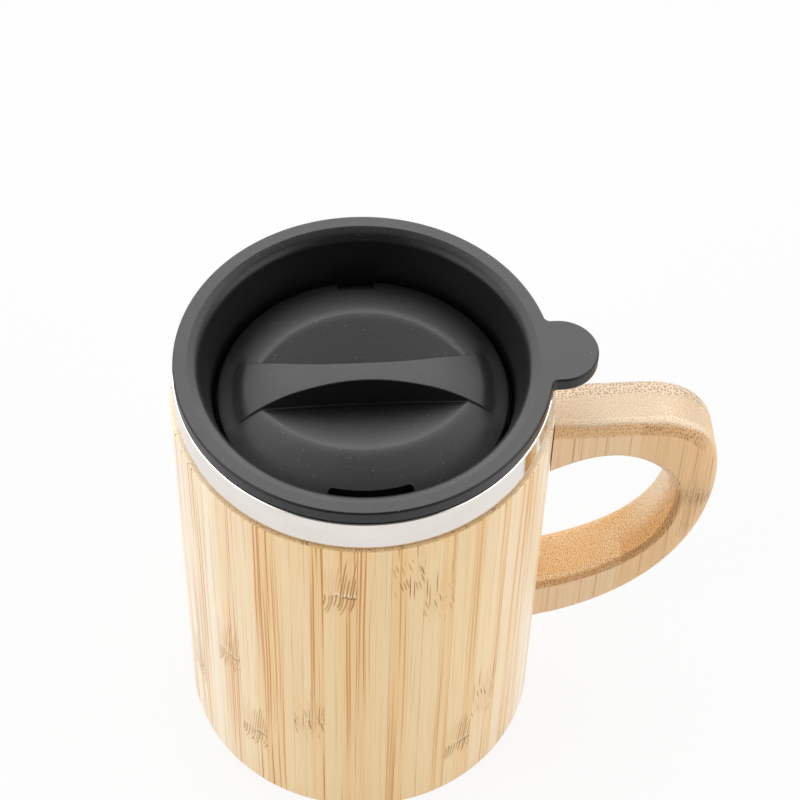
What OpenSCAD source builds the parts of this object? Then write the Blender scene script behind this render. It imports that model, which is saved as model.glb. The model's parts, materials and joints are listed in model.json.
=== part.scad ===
// Travel cup: steel liner in a sleeve of glued bamboo staves, bamboo handle,
// plug lid with a turning closure.
// The origin is on the cup's axis in the plane it rests on. +Z is up and +X points to the handle.
// Lengths are in millimetres.

/* [Bamboo sleeve] */
// Outer diameter of the sleeve
body_d = 90; // [84:1:100]
// Height of the sleeve
sleeve_h = 116.3; // [110:0.1:135]
// Thickness of the sleeve wall
sleeve_wall = 4.5; // [4:0.1:6]
// Number of glued staves round the sleeve
stave_count = 36; // [28:1:40]
// Bevel on the outer edges of the sleeve's ends
end_bevel = 0.4; // [0.2:0.1:0.8]

/* [Steel liner] */
// Thickness of the steel sheet
sheet_t = 0.7; // [0.5:0.1:1]
// Height of the polished collar above the sleeve
collar_h = 9.5; // [9:0.1:14]
// Distance from the sleeve's face back to the collar's face
collar_inset = 0.9; // [0.6:0.1:1.8]
// Radial gap between the liner and the sleeve
liner_gap = 0.25; // [0.1:0.05:0.5]
// Air gap between the liner's floor and the base disc
air_gap = 3; // [2:0.5:6]
// Outer radius of the liner's bottom corner
liner_corner_r = 6; // [4:0.5:10]

/* [Base] */
// Thickness of the base disc
base_t = 5; // [4:0.5:8]
// Diameter of the non-slip pad
pad_d = 64; // [50:1:74]
// Thickness of the non-slip pad
pad_t = 1.4; // [1:0.1:2]
// Height that the pad stands proud of the sleeve
foot_proud = 0.4; // [0.3:0.1:0.6]

/* [Handle] */
// Width of the handle
handle_w = 16; // [13:0.5:20]
// Distance the handle reaches out from the sleeve
handle_reach = 41.4; // [36:0.1:50]
// Height of the handle from end to end
handle_h = 81.6; // [76:0.1:88]
// Distance from the sleeve's top down to the handle's top
handle_drop = 7.4; // [5:0.1:12]
// Thickness of the upper arm at its thinnest
arm_t = 12; // [10:0.5:14]
// Thickness of the grip at its thinnest
grip_t = 10.1; // [9:0.1:13]
// Height of the upper arm where it meets the sleeve
upper_root_h = 17.4; // [15:0.1:20]
// Height of the lower arm where it meets the sleeve
lower_root_h = 16.7; // [15:0.1:20]
// Rounding of the handle's outer edges
outer_edge_r = 3.5; // [2:0.5:4.5]
// Rounding of the edges round the finger hole
inner_edge_r = 2.5; // [1.5:0.5:3.5]
// Distance from the sleeve to the glued seam between the arms and the grip
handle_seam = 20.6; // [18:0.1:23]
// Lean of the upper arm's seat, in degrees
seat_lean = 2; // [0:0.5:3]

/* [Handle screws] */
// Diameter of the screw's shank
screw_d = 3.5; // [3:0.5:4]
// Diameter of the screw's head
screw_head_d = 5.6; // [5:0.1:6]
// Length of the screw, head included
screw_len = 16; // [13:0.5:18]

/* [Lid] */
// Distance from the collar's face back to the flange's edge
flange_inset = 0.3; // [0:0.1:0.6]
// Thickness of the flange and the tab
flange_t = 3.7; // [3:0.1:5]
// Rounding of the flange's edges
flange_edge_r = 0.5; // [0.3:0.1:0.8]
// Width of the flat ring on top of the flange
flange_flat = 2.6; // [2:0.1:4]
// Rounding from the flange into the funnel
lip_r = 1.3; // [0.8:0.1:1.6]
// Width of the thumb tab
tab_w = 18; // [14:0.5:22]
// Distance the tab's tip reaches past the flange
tab_reach = 10.5; // [8:0.5:14]
// Rounding of the corners between tab and flange
tab_fillet_r = 1.5; // [1:0.5:3]
// Depth of the lid's floor below the flange's top
floor_drop = 16.4; // [16:0.1:19]
// Height of the straight wall round the disc
well_h = 3.4; // [2.5:0.1:4]
// Bow of the funnel's wall
funnel_bow = 1.2; // [0.6:0.1:1.6]
// Thickness of the lid's floor
floor_t = 2.2; // [2:0.1:3]
// Radial gap between the plug and the liner
plug_gap = 0.65; // [0.4:0.05:0.8]
// Wall of the plug between the funnel and the outside
plug_wall = 3.6; // [3.4:0.1:3.8]
// Gap between the lid's flange and the liner's rim
seat_gap = 0.1; // [0.05:0.05:0.2]
// Width of the drink slot in the lid's floor
slot_w = 17; // [12:1:18]
// Radial size of the drink slot
slot_t = 3.6; // [3:0.1:3.8]
// Diameter of the vent hole in the lid's floor
vent_d = 2.2; // [1.5:0.1:3]

/* [Lid seal] */
// Height of the seal ring
seal_h = 3.8; // [3:0.1:4.2]
// Depth of the groove that holds the seal
seal_groove = 1.4; // [1:0.1:1.8]
// Gap between the plug's ribs and the collar
rib_gap = 1.9; // [1.5:0.1:2.4]
// Clearance between the seal's fins and the collar
seal_gap = 0.1; // [0.05:0.05:0.2]

/* [Closure disc] */
// Gap between the disc's rim and the funnel
disc_gap = 1.1; // [0.8:0.1:1.4]
// Depth of the grip bar's top below the flange's top
bar_drop = 4.9; // [4:0.1:6]
// Radius of the disc's domed top
dome_r = 78; // [74:1:90]
// Width of the grip bar at its middle
bar_w = 5.2; // [4.6:0.1:7]
// Radius of the grip bar's curved walls
bar_wall_r = 72; // [60:1:90]
// Difference between the notches' radius and that of the finger scoops' outer edges
scoop_margin = 2.4; // [1.6:0.1:4]
// Offset of each scoop's centre past the bar's middle
scoop_offset = 7.5; // [6:0.1:9]
// Depth of the scoops at the bar
scoop_depth = 8.7; // [7:0.1:9]
// Slope of the scoops' floors, in degrees
scoop_slope = 17.9; // [16:0.1:22]
// Radius of the scoops' dished floors
scoop_floor_r = 96; // [90:1:120]
// Thickness of the disc's walls
disc_wall = 1.6; // [1.2:0.1:1.8]
// Width of the drink notch in the disc's rim
notch_w = 19.6; // [16:0.1:21]
// Width of the vent notch in the disc's rim
vent_notch_w = 9; // [7:0.5:11]
// Depth of both notches from the disc's rim
notch_t = 4.1; // [3.5:0.1:4.2]
// Diameter of the pivot post
post_d = 9.9; // [8:0.1:12]
// Clearance all round the pivot post
post_gap = 0.05; // [0.03:0.01:0.1]
// Gap between the disc and the lid's floor
disc_lift = 0.3; // [0.2:0.05:0.4]
// Turn from open to closed, in degrees
closure_turn = 90; // [60:5:90]

/* [Hidden] */
// Overrun of every cut past the face it leaves
over = 1;
// Segments of a full circle
fine = 180;
// Segments of a small arc in an outline
arc_steps = 6;

stave_names = [for (i = [1 : stave_count]) str("stave_", i < 10 ? "0" : "", i)];

// Heights above the table
sleeve_z = foot_proud;
sleeve_top = sleeve_z + sleeve_h;
rim_z = sleeve_top + collar_h;
flange_z = rim_z + seat_gap;
lid_top = flange_z + flange_t;
floor_z = lid_top - floor_drop;
base_top = sleeve_z + base_t;
liner_z = base_top + air_gap;

// Radii of the sleeve, the liner and the lid
body_r = body_d / 2;
bore_r = body_r - sleeve_wall;
collar_r = body_r - collar_inset;
collar_in_r = collar_r - sheet_t;
liner_r = bore_r - liner_gap;
liner_in_r = liner_r - sheet_t;
flange_r = collar_r - flange_inset;
plug_r = liner_in_r - plug_gap;
well_r = plug_r - plug_wall;
disc_r = well_r - disc_gap;
lip_top_r = flange_r - flange_edge_r - flange_flat;
funnel_top_r = lip_top_r - lip_r;

stave_angle = 360 / stave_count;

// Points of an arc from angle a0 to angle a1 round the centre c
function arc(c, r, a0, a1, steps = arc_steps) =
    [for (i = [0 : steps]) c + r * [cos(a0 + (a1 - a0) * i / steps), sin(a0 + (a1 - a0) * i / steps)]];

// Point at t of the cubic curve with the four control points p
function cubic(p, t) =
    pow(1 - t, 3) * p[0] + 3 * t * pow(1 - t, 2) * p[1] + 3 * t * t * (1 - t) * p[2] + pow(t, 3) * p[3];

// Direction of that curve at t
function cubic_dir(p, t) =
    let (d = pow(1 - t, 2) * (p[1] - p[0]) + 2 * t * (1 - t) * (p[2] - p[1]) + t * t * (p[3] - p[2]))
    d / norm(d);

// Countersunk screw along +X from the origin, grown by a clearance
screw_head_h = (screw_head_d - screw_d) / 2;
head_rim = screw_d / 10;
module screw(gap = 0) {
    rotate([0, 90, 0]) rotate_extrude($fn = fine) polygon([
        [0, -gap],
        [screw_head_d / 2 + gap, -gap],
        [screw_head_d / 2 + gap, head_rim],
        [screw_d / 2 + gap, head_rim + screw_head_h],
        [screw_d / 2 + gap, screw_len - screw_d + gap],
        [0, screw_len + gap]
    ]);
}

// Where the two handle screws lie
screw_gap = 0.05;
screw_sink = 0.15;
screw_x = bore_r + screw_sink;
handle_top = sleeve_top - handle_drop;
screw_heights = [handle_top - upper_root_h / 2, handle_top - handle_h + lower_root_h / 2];
module both_screws(gap = 0) {
    for (z = screw_heights) {
        translate([screw_x, 0, z]) screw(gap);
    }
}

// One stave of the sleeve: a slice of a tube with bevelled outer ends
module stave_form(i) {
    rotate([0, 0, (i - 1.5) * stave_angle]) rotate_extrude(angle = stave_angle, $fn = fine) polygon([
        [bore_r, sleeve_z],
        [body_r - end_bevel, sleeve_z],
        [body_r, sleeve_z + end_bevel],
        [body_r, sleeve_top - end_bevel],
        [body_r - end_bevel, sleeve_top],
        [bore_r, sleeve_top]
    ]);
}

// The first stave carries the handle, so it is drilled and countersunk from inside
module stave(i) {
    color("burlywood")
    if (i == 1) {
        difference() {
            stave_form(i);
            both_screws(screw_gap);
            for (z = screw_heights) {
                translate([bore_r - over, 0, z]) rotate([0, 90, 0])
                    cylinder(d = screw_head_d + 2 * screw_gap, h = over + screw_sink, $fn = fine);
            }
        }
    } else {
        stave_form(i);
    }
}

// Base disc, glued into the sleeve, with a shallow seat for the pad
module base_disc() {
    color("tan") difference() {
        translate([0, 0, sleeve_z]) cylinder(r = bore_r, h = base_t, $fn = fine);
        translate([0, 0, sleeve_z - over]) cylinder(d = pad_d, h = over + pad_t - foot_proud, $fn = fine);
    }
}

// Non-slip pad: the face that the cup rests on
module base_pad() {
    color("dimgray") cylinder(d = pad_d, h = pad_t, $fn = fine);
}

// Steel liner: a drawn cup with a floor, a straight wall, a shoulder on the sleeve
// and a collar with a round rim
liner_in_corner_r = liner_corner_r - sheet_t;
module steel_liner() {
    color("silver") rotate_extrude($fn = fine) polygon(concat(
        [[0, liner_z]],
        arc([liner_r - liner_corner_r, liner_z + liner_corner_r], liner_corner_r, -90, 0),
        [[liner_r, sleeve_top], [collar_r, sleeve_top]],
        arc([collar_r - sheet_t / 2, rim_z - sheet_t / 2], sheet_t / 2, 0, 180),
        [[collar_in_r, sleeve_top + sheet_t], [liner_in_r, sleeve_top + sheet_t]],
        arc([liner_r - liner_corner_r, liner_z + liner_corner_r], liner_in_corner_r, 0, -90),
        [[0, liner_z + sheet_t]]
    ));
}

// The handle's outline in its upright plane. X runs out from the sleeve and Z down from the
// handle's top. Each curve has three stretches: along the upper arm, round the upper corner,
// and down the grip to the lower root.
// Control points are shares of the reach, of the height and of the finger hole inside them.
top_shares = [0.17, 0.35, 0.52];
corner_shares = [0.815, 0.26];
side_share = 0.303;
belly_shares = [0.66, 0.592, 0.925];
outer_side_z = side_share * handle_h;
outer_curves = [
    [for (share = concat([0], top_shares)) [share * handle_reach, 0]],
    [
        [top_shares[2] * handle_reach, 0],
        [corner_shares[0] * handle_reach, 0],
        [handle_reach, corner_shares[1] * outer_side_z],
        [handle_reach, outer_side_z]
    ],
    [
        [handle_reach, outer_side_z],
        [handle_reach, belly_shares[0] * handle_h],
        [belly_shares[1] * handle_reach, belly_shares[2] * handle_h],
        [0, handle_h]
    ]
];
hole_reach = handle_reach - grip_t;
hole_floor = handle_h - lower_root_h;
ceiling_shares = [0.144, 0.46, 0.3, 0.457];
shoulder_shares = [0.75, 0.54];
hole_side_share = 0.45;
cheek_shares = [0.765, 0.56, 0.93];
hole_side_z = hole_side_share * hole_floor;
inner_curves = [
    [
        [0, upper_root_h],
        [ceiling_shares[0] * hole_reach, arm_t + ceiling_shares[1] * (upper_root_h - arm_t)],
        [ceiling_shares[2] * hole_reach, arm_t],
        [ceiling_shares[3] * hole_reach, arm_t]
    ],
    [
        [ceiling_shares[3] * hole_reach, arm_t],
        [shoulder_shares[0] * hole_reach, arm_t],
        [hole_reach, arm_t + shoulder_shares[1] * (hole_side_z - arm_t)],
        [hole_reach, hole_side_z]
    ],
    [
        [hole_reach, hole_side_z],
        [hole_reach, cheek_shares[0] * hole_floor],
        [cheek_shares[1] * hole_reach, cheek_shares[2] * hole_floor],
        [0, hole_floor]
    ]
];

// Stations along the three stretches
stretch_steps = [6, 12, 20];
stations = concat(
    [for (k = [0 : 2]) for (i = [0 : stretch_steps[k] - 1]) [k, i / stretch_steps[k]]],
    [[2, 1]]
);
root_over = 3 * over;
function on_curve(curves, s) =
    let (p = cubic(curves[s[0]], s[1]), d = cubic_dir(curves[s[0]], s[1]))
    [p, [-d[1], d[0]]];
function run_out(curves, s, back) =
    let (p = cubic(curves[s[0]], s[1]), d = cubic_dir(curves[s[0]], s[1]))
    [p + (back ? -1 : 1) * root_over * d, [-d[1], d[0]]];
function side_points(curves) = concat(
    [run_out(curves, stations[0], true)],
    [for (s = stations) on_curve(curves, s)],
    [run_out(curves, stations[len(stations) - 1], false)]
);
outer_side = side_points(outer_curves);
inner_side = side_points(inner_curves);

// One ring of the handle's skin: the rounded outer edges, then the rounded inner edges
edge_steps = 4;
function corner(side, inward, r, y_sign, rising) =
    [for (i = [0 : edge_steps])
        let (a = 90 * (rising ? i : edge_steps - i) / edge_steps)
        let (q = side[0] + inward * side[1] * r * (1 - sin(a)))
        [body_r + q[0], y_sign * (handle_w / 2 - r * (1 - cos(a))), handle_top - q[1]]];
function ring(k) = concat(
    corner(outer_side[k], 1, outer_edge_r, -1, true),
    corner(outer_side[k], 1, outer_edge_r, 1, false),
    corner(inner_side[k], -1, inner_edge_r, 1, true),
    corner(inner_side[k], -1, inner_edge_r, -1, false)
);
ring_count = len(outer_side);
ring_points = 4 * (edge_steps + 1);

// The handle's whole form as one skin of triangles
module handle_form() {
    points = [for (k = [0 : ring_count - 1]) each ring(k)];
    last = (ring_count - 1) * ring_points;
    polyhedron(points, concat(
        [for (k = [0 : ring_count - 2]) for (i = [0 : ring_points - 1])
            let (a = k * ring_points + i, b = k * ring_points + (i + 1) % ring_points)
            each [[a, b, b + ring_points], [a, b + ring_points, a + ring_points]]],
        [[for (i = [ring_points - 1 : -1 : 0]) i]],
        [[for (i = [0 : ring_points - 1]) last + i]]
    ));
}

// The handle cut to its seats on the sleeve and drilled for the screws
module handle_body() {
    difference() {
        handle_form();
        translate([0, 0, handle_top - handle_h - over])
            cylinder(r = body_r, h = handle_h - upper_root_h, $fn = fine);
        translate([0, 0, handle_top]) rotate([0, -seat_lean, 0]) translate([0, 0, -2 * upper_root_h])
            cylinder(r = body_r, h = 2 * upper_root_h + over, $fn = fine);
        both_screws(screw_gap);
    }
}

// A block of the handle's space, from one distance out to another and from one height down to another
module handle_block(from_x, to_x, from_z, to_z) {
    translate([body_r + from_x, -handle_w / 2 - over, handle_top - to_z])
        cube([to_x - from_x, handle_w + 2 * over, to_z - from_z]);
}

arm_split = (upper_root_h + hole_floor) / 2;
module handle_upper_arm() {
    color("burlywood") intersection() {
        handle_body();
        handle_block(-root_over, handle_seam, -over, arm_split);
    }
}

module handle_lower_arm() {
    color("burlywood") intersection() {
        handle_body();
        handle_block(-root_over, handle_seam, arm_split, handle_h + over);
    }
}

module handle_grip() {
    color("tan") intersection() {
        handle_body();
        handle_block(handle_seam, handle_reach + over, -over, handle_h + over);
    }
}

module handle_screws() {
    color("gainsboro") both_screws();
}

// Silicone ring with two fins that press on the collar
seal_play = 0.05;
rib_r = collar_in_r - rib_gap;
groove_r = rib_r - seal_groove;
groove_top = flange_z - flange_t / 2;
groove_z = groove_top - seal_h - 2 * seal_play;
fin_r = collar_in_r - seal_gap;
module lid_seal() {
    low = groove_z + seal_play;
    color("whitesmoke") rotate_extrude($fn = fine) polygon([
        [groove_r + seal_play, low],
        [rib_r, low],
        [fin_r, low + seal_h / 4],
        [rib_r, low + seal_h / 2],
        [fin_r, low + seal_h * 3 / 4],
        [rib_r, low + seal_h],
        [groove_r + seal_play, low + seal_h]
    ]);
}

// Thumb tab: a bar with a round end, its edges rounded like the flange's
tab_r = tab_w / 2;
tab_x = flange_r + tab_reach - tab_r;
module rounded_plate_end() {
    translate([tab_x, 0, flange_z]) rotate_extrude($fn = fine) {
        square([tab_r - flange_edge_r, flange_t]);
        translate([0, flange_edge_r]) square([tab_r, flange_t - 2 * flange_edge_r]);
        for (z = [flange_edge_r, flange_t - flange_edge_r]) {
            translate([tab_r - flange_edge_r, z]) circle(r = flange_edge_r, $fn = fine);
        }
    }
}
module rounded_plate_bar() {
    translate([plug_r, 0, flange_z]) rotate([90, 0, 90]) linear_extrude(tab_x - plug_r) {
        translate([flange_edge_r - tab_r, 0]) square([tab_w - 2 * flange_edge_r, flange_t]);
        translate([-tab_r, flange_edge_r]) square([tab_w, flange_t - 2 * flange_edge_r]);
        for (y = [flange_edge_r - tab_r, tab_r - flange_edge_r]) {
            for (z = [flange_edge_r, flange_t - flange_edge_r]) {
                translate([y, z]) circle(r = flange_edge_r, $fn = fine);
            }
        }
    }
}

// Small fillets where the tab leaves the flange
fillet_y = tab_r + tab_fillet_r;
fillet_x = sqrt(pow(flange_r + tab_fillet_r, 2) - pow(fillet_y, 2));
module tab_fillets() {
    for (side = [-1, 1]) {
        difference() {
            translate([plug_r, side > 0 ? 0 : -fillet_y, flange_z + flange_edge_r])
                cube([fillet_x - plug_r, fillet_y, flange_t - 2 * flange_edge_r]);
            translate([fillet_x, side * fillet_y, flange_z - over])
                cylinder(r = tab_fillet_r, h = flange_t + 2 * over, $fn = fine);
        }
    }
}

// Section of the lid: floor, funnel, flange, plug with the seal's groove
funnel_foot_z = floor_z + well_h;
funnel_curve = [
    [well_r, funnel_foot_z],
    [well_r, funnel_foot_z + 3 * funnel_bow],
    [funnel_top_r - funnel_bow, lid_top - lip_r - 2 * funnel_bow],
    [funnel_top_r, lid_top - lip_r]
];
lower_plug_top = sleeve_top + sheet_t;
module lid_section() {
    polygon(concat(
        [[0, floor_z], [well_r - lip_r, floor_z]],
        arc([well_r - lip_r, floor_z + lip_r], lip_r, -90, 0),
        [for (i = [0 : arc_steps]) cubic(funnel_curve, i / arc_steps)],
        arc([lip_top_r, lid_top - lip_r], lip_r, 180, 90),
        arc([flange_r - flange_edge_r, lid_top - flange_edge_r], flange_edge_r, 90, 0),
        arc([flange_r - flange_edge_r, flange_z + flange_edge_r], flange_edge_r, 0, -90),
        [[rib_r, flange_z], [rib_r, groove_top], [groove_r, groove_top], [groove_r, groove_z]],
        [[rib_r, groove_z], [rib_r, groove_z - seal_groove], [plug_r, lower_plug_top]],
        [[plug_r, floor_z - floor_t + flange_edge_r], [plug_r - flange_edge_r, floor_z - floor_t]],
        [[0, floor_z - floor_t]]
    ));
}

// Places shared by the lid's floor and the closure disc
notch_r = disc_r - notch_t;
slot_mid_r = notch_r + (well_r - notch_r) / 2;
vent_r = (notch_r + disc_r) / 2;
peg_r = post_d / 8;
peg_place_r = 1.5 * post_d;
peg_angle = 180;
peg_gap = disc_lift;
peg_h = floor_t / 2;

// Arc of a groove or slot, from angle a0 to a1 and from radius r0 to r1
module arc_cut(r0, r1, a0, a1, z, h) {
    rotate([0, 0, a0]) rotate_extrude(angle = a1 - a0, $fn = fine) translate([r0, z]) square([r1 - r0, h]);
}

module lid_body() {
    slot_half = asin(slot_w / 2 / slot_mid_r);
    color("dimgray") difference() {
        union() {
            rotate_extrude($fn = fine) lid_section();
            difference() {
                union() {
                    rounded_plate_end();
                    rounded_plate_bar();
                    tab_fillets();
                }
                translate([0, 0, flange_z - over])
                    cylinder(r = flange_r - lip_r, h = flange_t + 2 * over, $fn = fine);
            }
        }
        translate([0, 0, floor_z - floor_t - over])
            cylinder(d = post_d + 2 * post_gap, h = floor_t + 2 * over, $fn = fine);
        arc_cut(
            slot_mid_r - slot_t / 2, slot_mid_r + slot_t / 2, -90 - slot_half, -90 + slot_half,
            floor_z - floor_t - over, floor_t + 2 * over
        );
        translate([0, vent_r, floor_z - floor_t - over])
            cylinder(d = vent_d, h = floor_t + 2 * over, $fn = fine);
        arc_cut(
            peg_place_r - peg_r - peg_gap, peg_place_r + peg_r + peg_gap,
            peg_angle, peg_angle + closure_turn,
            floor_z - peg_h - peg_gap, over + peg_h + peg_gap
        );
        for (a = [peg_angle, peg_angle + closure_turn]) {
            rotate([0, 0, a]) translate([peg_place_r, 0, floor_z - peg_h - peg_gap])
                cylinder(r = peg_r + peg_gap, h = over + peg_h + peg_gap, $fn = fine);
        }
    }
}

// Closure disc
disc_z = floor_z + disc_lift;
dome_top = lid_top - bar_drop;
dome_edge_r = notch_r + disc_wall / 2;
dome_edge_z = dome_top - dome_r + sqrt(pow(dome_r, 2) - pow(dome_edge_r, 2));
rim_step = disc_wall / 2;
rim_edge_r = disc_wall / 2;
scoop_r = notch_r - scoop_margin;
scoop_floor_z = dome_top - scoop_depth;

// The dome's sphere, shrunk by a wall
module dome_ball(wall = 0) {
    translate([0, 0, dome_top - dome_r]) sphere(r = dome_r - wall, $fn = fine);
}

// A finger scoop, grown by a wall. Its floor is the underside of a long cylinder that leans up from the bar.
module scoop(side, wall = 0) {
    tall = 2 * floor_drop;
    intersection() {
        translate([0, -side * scoop_offset, scoop_floor_z - tall / 2])
            cylinder(r = scoop_r + wall, h = tall, $fn = fine);
        translate([0, side * (bar_wall_r + bar_w / 2), scoop_floor_z - tall / 2])
            cylinder(r = bar_wall_r + wall, h = tall, $fn = fine);
        translate([0, side * bar_w / 2, scoop_floor_z]) rotate([side * scoop_slope, 0, 0])
            translate([0, 0, scoop_floor_r]) rotate([90, 0, 0])
            cylinder(r = scoop_floor_r + wall, h = 4 * disc_r, center = true, $fn = fine);
    }
}

// Rim ring of the disc, with a flat lip and a round edge
module disc_rim() {
    rotate_extrude($fn = fine) polygon(concat(
        [[0, disc_z], [disc_r, disc_z]],
        arc([disc_r - rim_edge_r, dome_edge_z - rim_step - rim_edge_r], rim_edge_r, 0, 90),
        [[dome_edge_r + rim_step / 2, dome_edge_z - rim_step], [dome_edge_r, dome_edge_z - rim_step / 2]],
        [[0, dome_edge_z - rim_step / 2]]
    ));
}

// Hollow under the disc, clear of the scoops and the post
module disc_hollow() {
    difference() {
        intersection() {
            dome_ball(disc_wall);
            translate([0, 0, disc_z - over]) cylinder(r = notch_r - disc_wall, h = floor_drop, $fn = fine);
        }
        scoop(1, disc_wall);
        scoop(-1, disc_wall);
        translate([0, 0, disc_z - over]) cylinder(d = post_d, h = floor_drop, $fn = fine);
        rotate([0, 0, peg_angle]) translate([peg_place_r, 0, disc_z - over])
            cylinder(r = peg_r + disc_wall, h = floor_drop, $fn = fine);
    }
}

// Snap lip at the foot of the pivot post
snap_gap = disc_lift / 2;
snap_reach = disc_wall / 2;
module pivot_post() {
    foot_z = floor_z - floor_t - snap_gap;
    rotate_extrude($fn = fine) polygon([
        [0, disc_z + over],
        [post_d / 2, disc_z + over],
        [post_d / 2, foot_z],
        [post_d / 2 + snap_reach, foot_z],
        [post_d / 2 + snap_reach, foot_z - snap_reach],
        [post_d / 2 - snap_reach, foot_z - 2 * disc_wall],
        [0, foot_z - 2 * disc_wall]
    ]);
}

module notch(width, angle) {
    rotate([0, 0, angle]) difference() {
        translate([0, -width / 2, disc_z - over]) cube([2 * disc_r, width, floor_drop]);
        translate([0, 0, disc_z - 2 * over]) cylinder(r = notch_r, h = 2 * floor_drop, $fn = fine);
    }
}

module closure_disc() {
    slit_w = disc_wall;
    slit_z = floor_z - floor_t - snap_gap - 3 * disc_wall;
    color("dimgray") difference() {
        union() {
            disc_rim();
            intersection() {
                dome_ball();
                translate([0, 0, disc_z]) cylinder(r = dome_edge_r, h = floor_drop, $fn = fine);
            }
            pivot_post();
            rotate([0, 0, peg_angle]) translate([peg_place_r, 0, floor_z - peg_h])
                cylinder(r = peg_r, h = peg_h + disc_lift + over, $fn = fine);
        }
        scoop(1);
        scoop(-1);
        disc_hollow();
        notch(notch_w, -90);
        notch(vent_notch_w, 90);
        for (a = [0, 90]) {
            rotate([0, 0, a]) translate([-post_d, -slit_w / 2, slit_z])
                cube([2 * post_d, slit_w, disc_z - over - slit_z]);
        }
    }
}

for (i = [1 : stave_count]) {
    stave(i);
}
steel_liner();
base_disc();
base_pad();
handle_upper_arm();
handle_lower_arm();
handle_grip();
handle_screws();
lid_seal();
lid_body();
closure_disc();
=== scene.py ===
import json
import math

import bmesh
import bpy
import numpy as np
from mathutils import Matrix, Vector

# The travel cup's looks: a sleeve of glued bamboo staves round a polished steel liner, a bamboo handle,
# and a black plug lid with a turning closure disc. Lengths are in millimetres until a mesh is made.
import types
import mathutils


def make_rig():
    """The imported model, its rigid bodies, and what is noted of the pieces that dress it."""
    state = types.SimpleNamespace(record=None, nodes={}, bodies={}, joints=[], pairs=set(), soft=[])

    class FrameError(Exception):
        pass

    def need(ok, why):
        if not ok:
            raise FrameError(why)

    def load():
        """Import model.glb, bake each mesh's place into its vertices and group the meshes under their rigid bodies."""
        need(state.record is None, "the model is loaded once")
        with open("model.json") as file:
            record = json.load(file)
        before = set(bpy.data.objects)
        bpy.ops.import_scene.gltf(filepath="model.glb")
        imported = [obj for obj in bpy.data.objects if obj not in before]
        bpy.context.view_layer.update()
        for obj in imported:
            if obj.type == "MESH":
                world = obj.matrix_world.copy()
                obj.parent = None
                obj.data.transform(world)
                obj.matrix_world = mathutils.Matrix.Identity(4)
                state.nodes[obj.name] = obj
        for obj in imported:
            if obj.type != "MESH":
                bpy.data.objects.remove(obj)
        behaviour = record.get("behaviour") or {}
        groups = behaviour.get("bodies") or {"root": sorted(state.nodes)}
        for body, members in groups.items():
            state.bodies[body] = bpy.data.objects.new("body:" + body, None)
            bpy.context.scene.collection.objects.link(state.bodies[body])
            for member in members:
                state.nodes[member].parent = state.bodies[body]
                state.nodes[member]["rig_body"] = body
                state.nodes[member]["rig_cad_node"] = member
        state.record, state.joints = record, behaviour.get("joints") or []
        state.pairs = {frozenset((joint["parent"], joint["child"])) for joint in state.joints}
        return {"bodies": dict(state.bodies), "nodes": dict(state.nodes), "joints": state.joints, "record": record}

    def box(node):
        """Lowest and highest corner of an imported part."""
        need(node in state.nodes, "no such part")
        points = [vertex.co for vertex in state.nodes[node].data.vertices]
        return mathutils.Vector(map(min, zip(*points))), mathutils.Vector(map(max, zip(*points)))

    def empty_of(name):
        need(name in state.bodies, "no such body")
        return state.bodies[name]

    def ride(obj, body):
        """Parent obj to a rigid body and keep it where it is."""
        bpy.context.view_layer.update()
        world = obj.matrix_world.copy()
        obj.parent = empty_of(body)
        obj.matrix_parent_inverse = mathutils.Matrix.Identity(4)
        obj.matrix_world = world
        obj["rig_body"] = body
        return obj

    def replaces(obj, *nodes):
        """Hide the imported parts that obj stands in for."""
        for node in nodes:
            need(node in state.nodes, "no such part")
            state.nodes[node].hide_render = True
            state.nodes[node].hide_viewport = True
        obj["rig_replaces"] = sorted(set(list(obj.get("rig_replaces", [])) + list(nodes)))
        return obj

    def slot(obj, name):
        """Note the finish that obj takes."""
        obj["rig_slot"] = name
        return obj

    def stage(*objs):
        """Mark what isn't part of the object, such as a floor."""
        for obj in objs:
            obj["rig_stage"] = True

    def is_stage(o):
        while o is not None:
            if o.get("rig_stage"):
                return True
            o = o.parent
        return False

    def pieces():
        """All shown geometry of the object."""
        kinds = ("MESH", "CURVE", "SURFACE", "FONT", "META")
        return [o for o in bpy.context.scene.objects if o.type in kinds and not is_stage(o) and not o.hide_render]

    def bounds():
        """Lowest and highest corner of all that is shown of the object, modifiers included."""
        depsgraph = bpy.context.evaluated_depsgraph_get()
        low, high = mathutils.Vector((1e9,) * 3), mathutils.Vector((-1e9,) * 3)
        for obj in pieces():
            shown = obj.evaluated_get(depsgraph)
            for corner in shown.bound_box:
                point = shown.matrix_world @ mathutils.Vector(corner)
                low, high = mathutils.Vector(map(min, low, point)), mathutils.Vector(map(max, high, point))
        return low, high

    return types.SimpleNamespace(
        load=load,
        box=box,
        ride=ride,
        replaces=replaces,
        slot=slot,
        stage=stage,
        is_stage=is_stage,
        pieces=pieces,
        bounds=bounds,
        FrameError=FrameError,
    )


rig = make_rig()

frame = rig.load()
cad_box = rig.bounds()
MM = 0.001


def corners(node):
    """Lowest and highest corner of a CAD node in millimetres."""
    low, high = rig.box(node)
    return low / MM, high / MM


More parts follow.
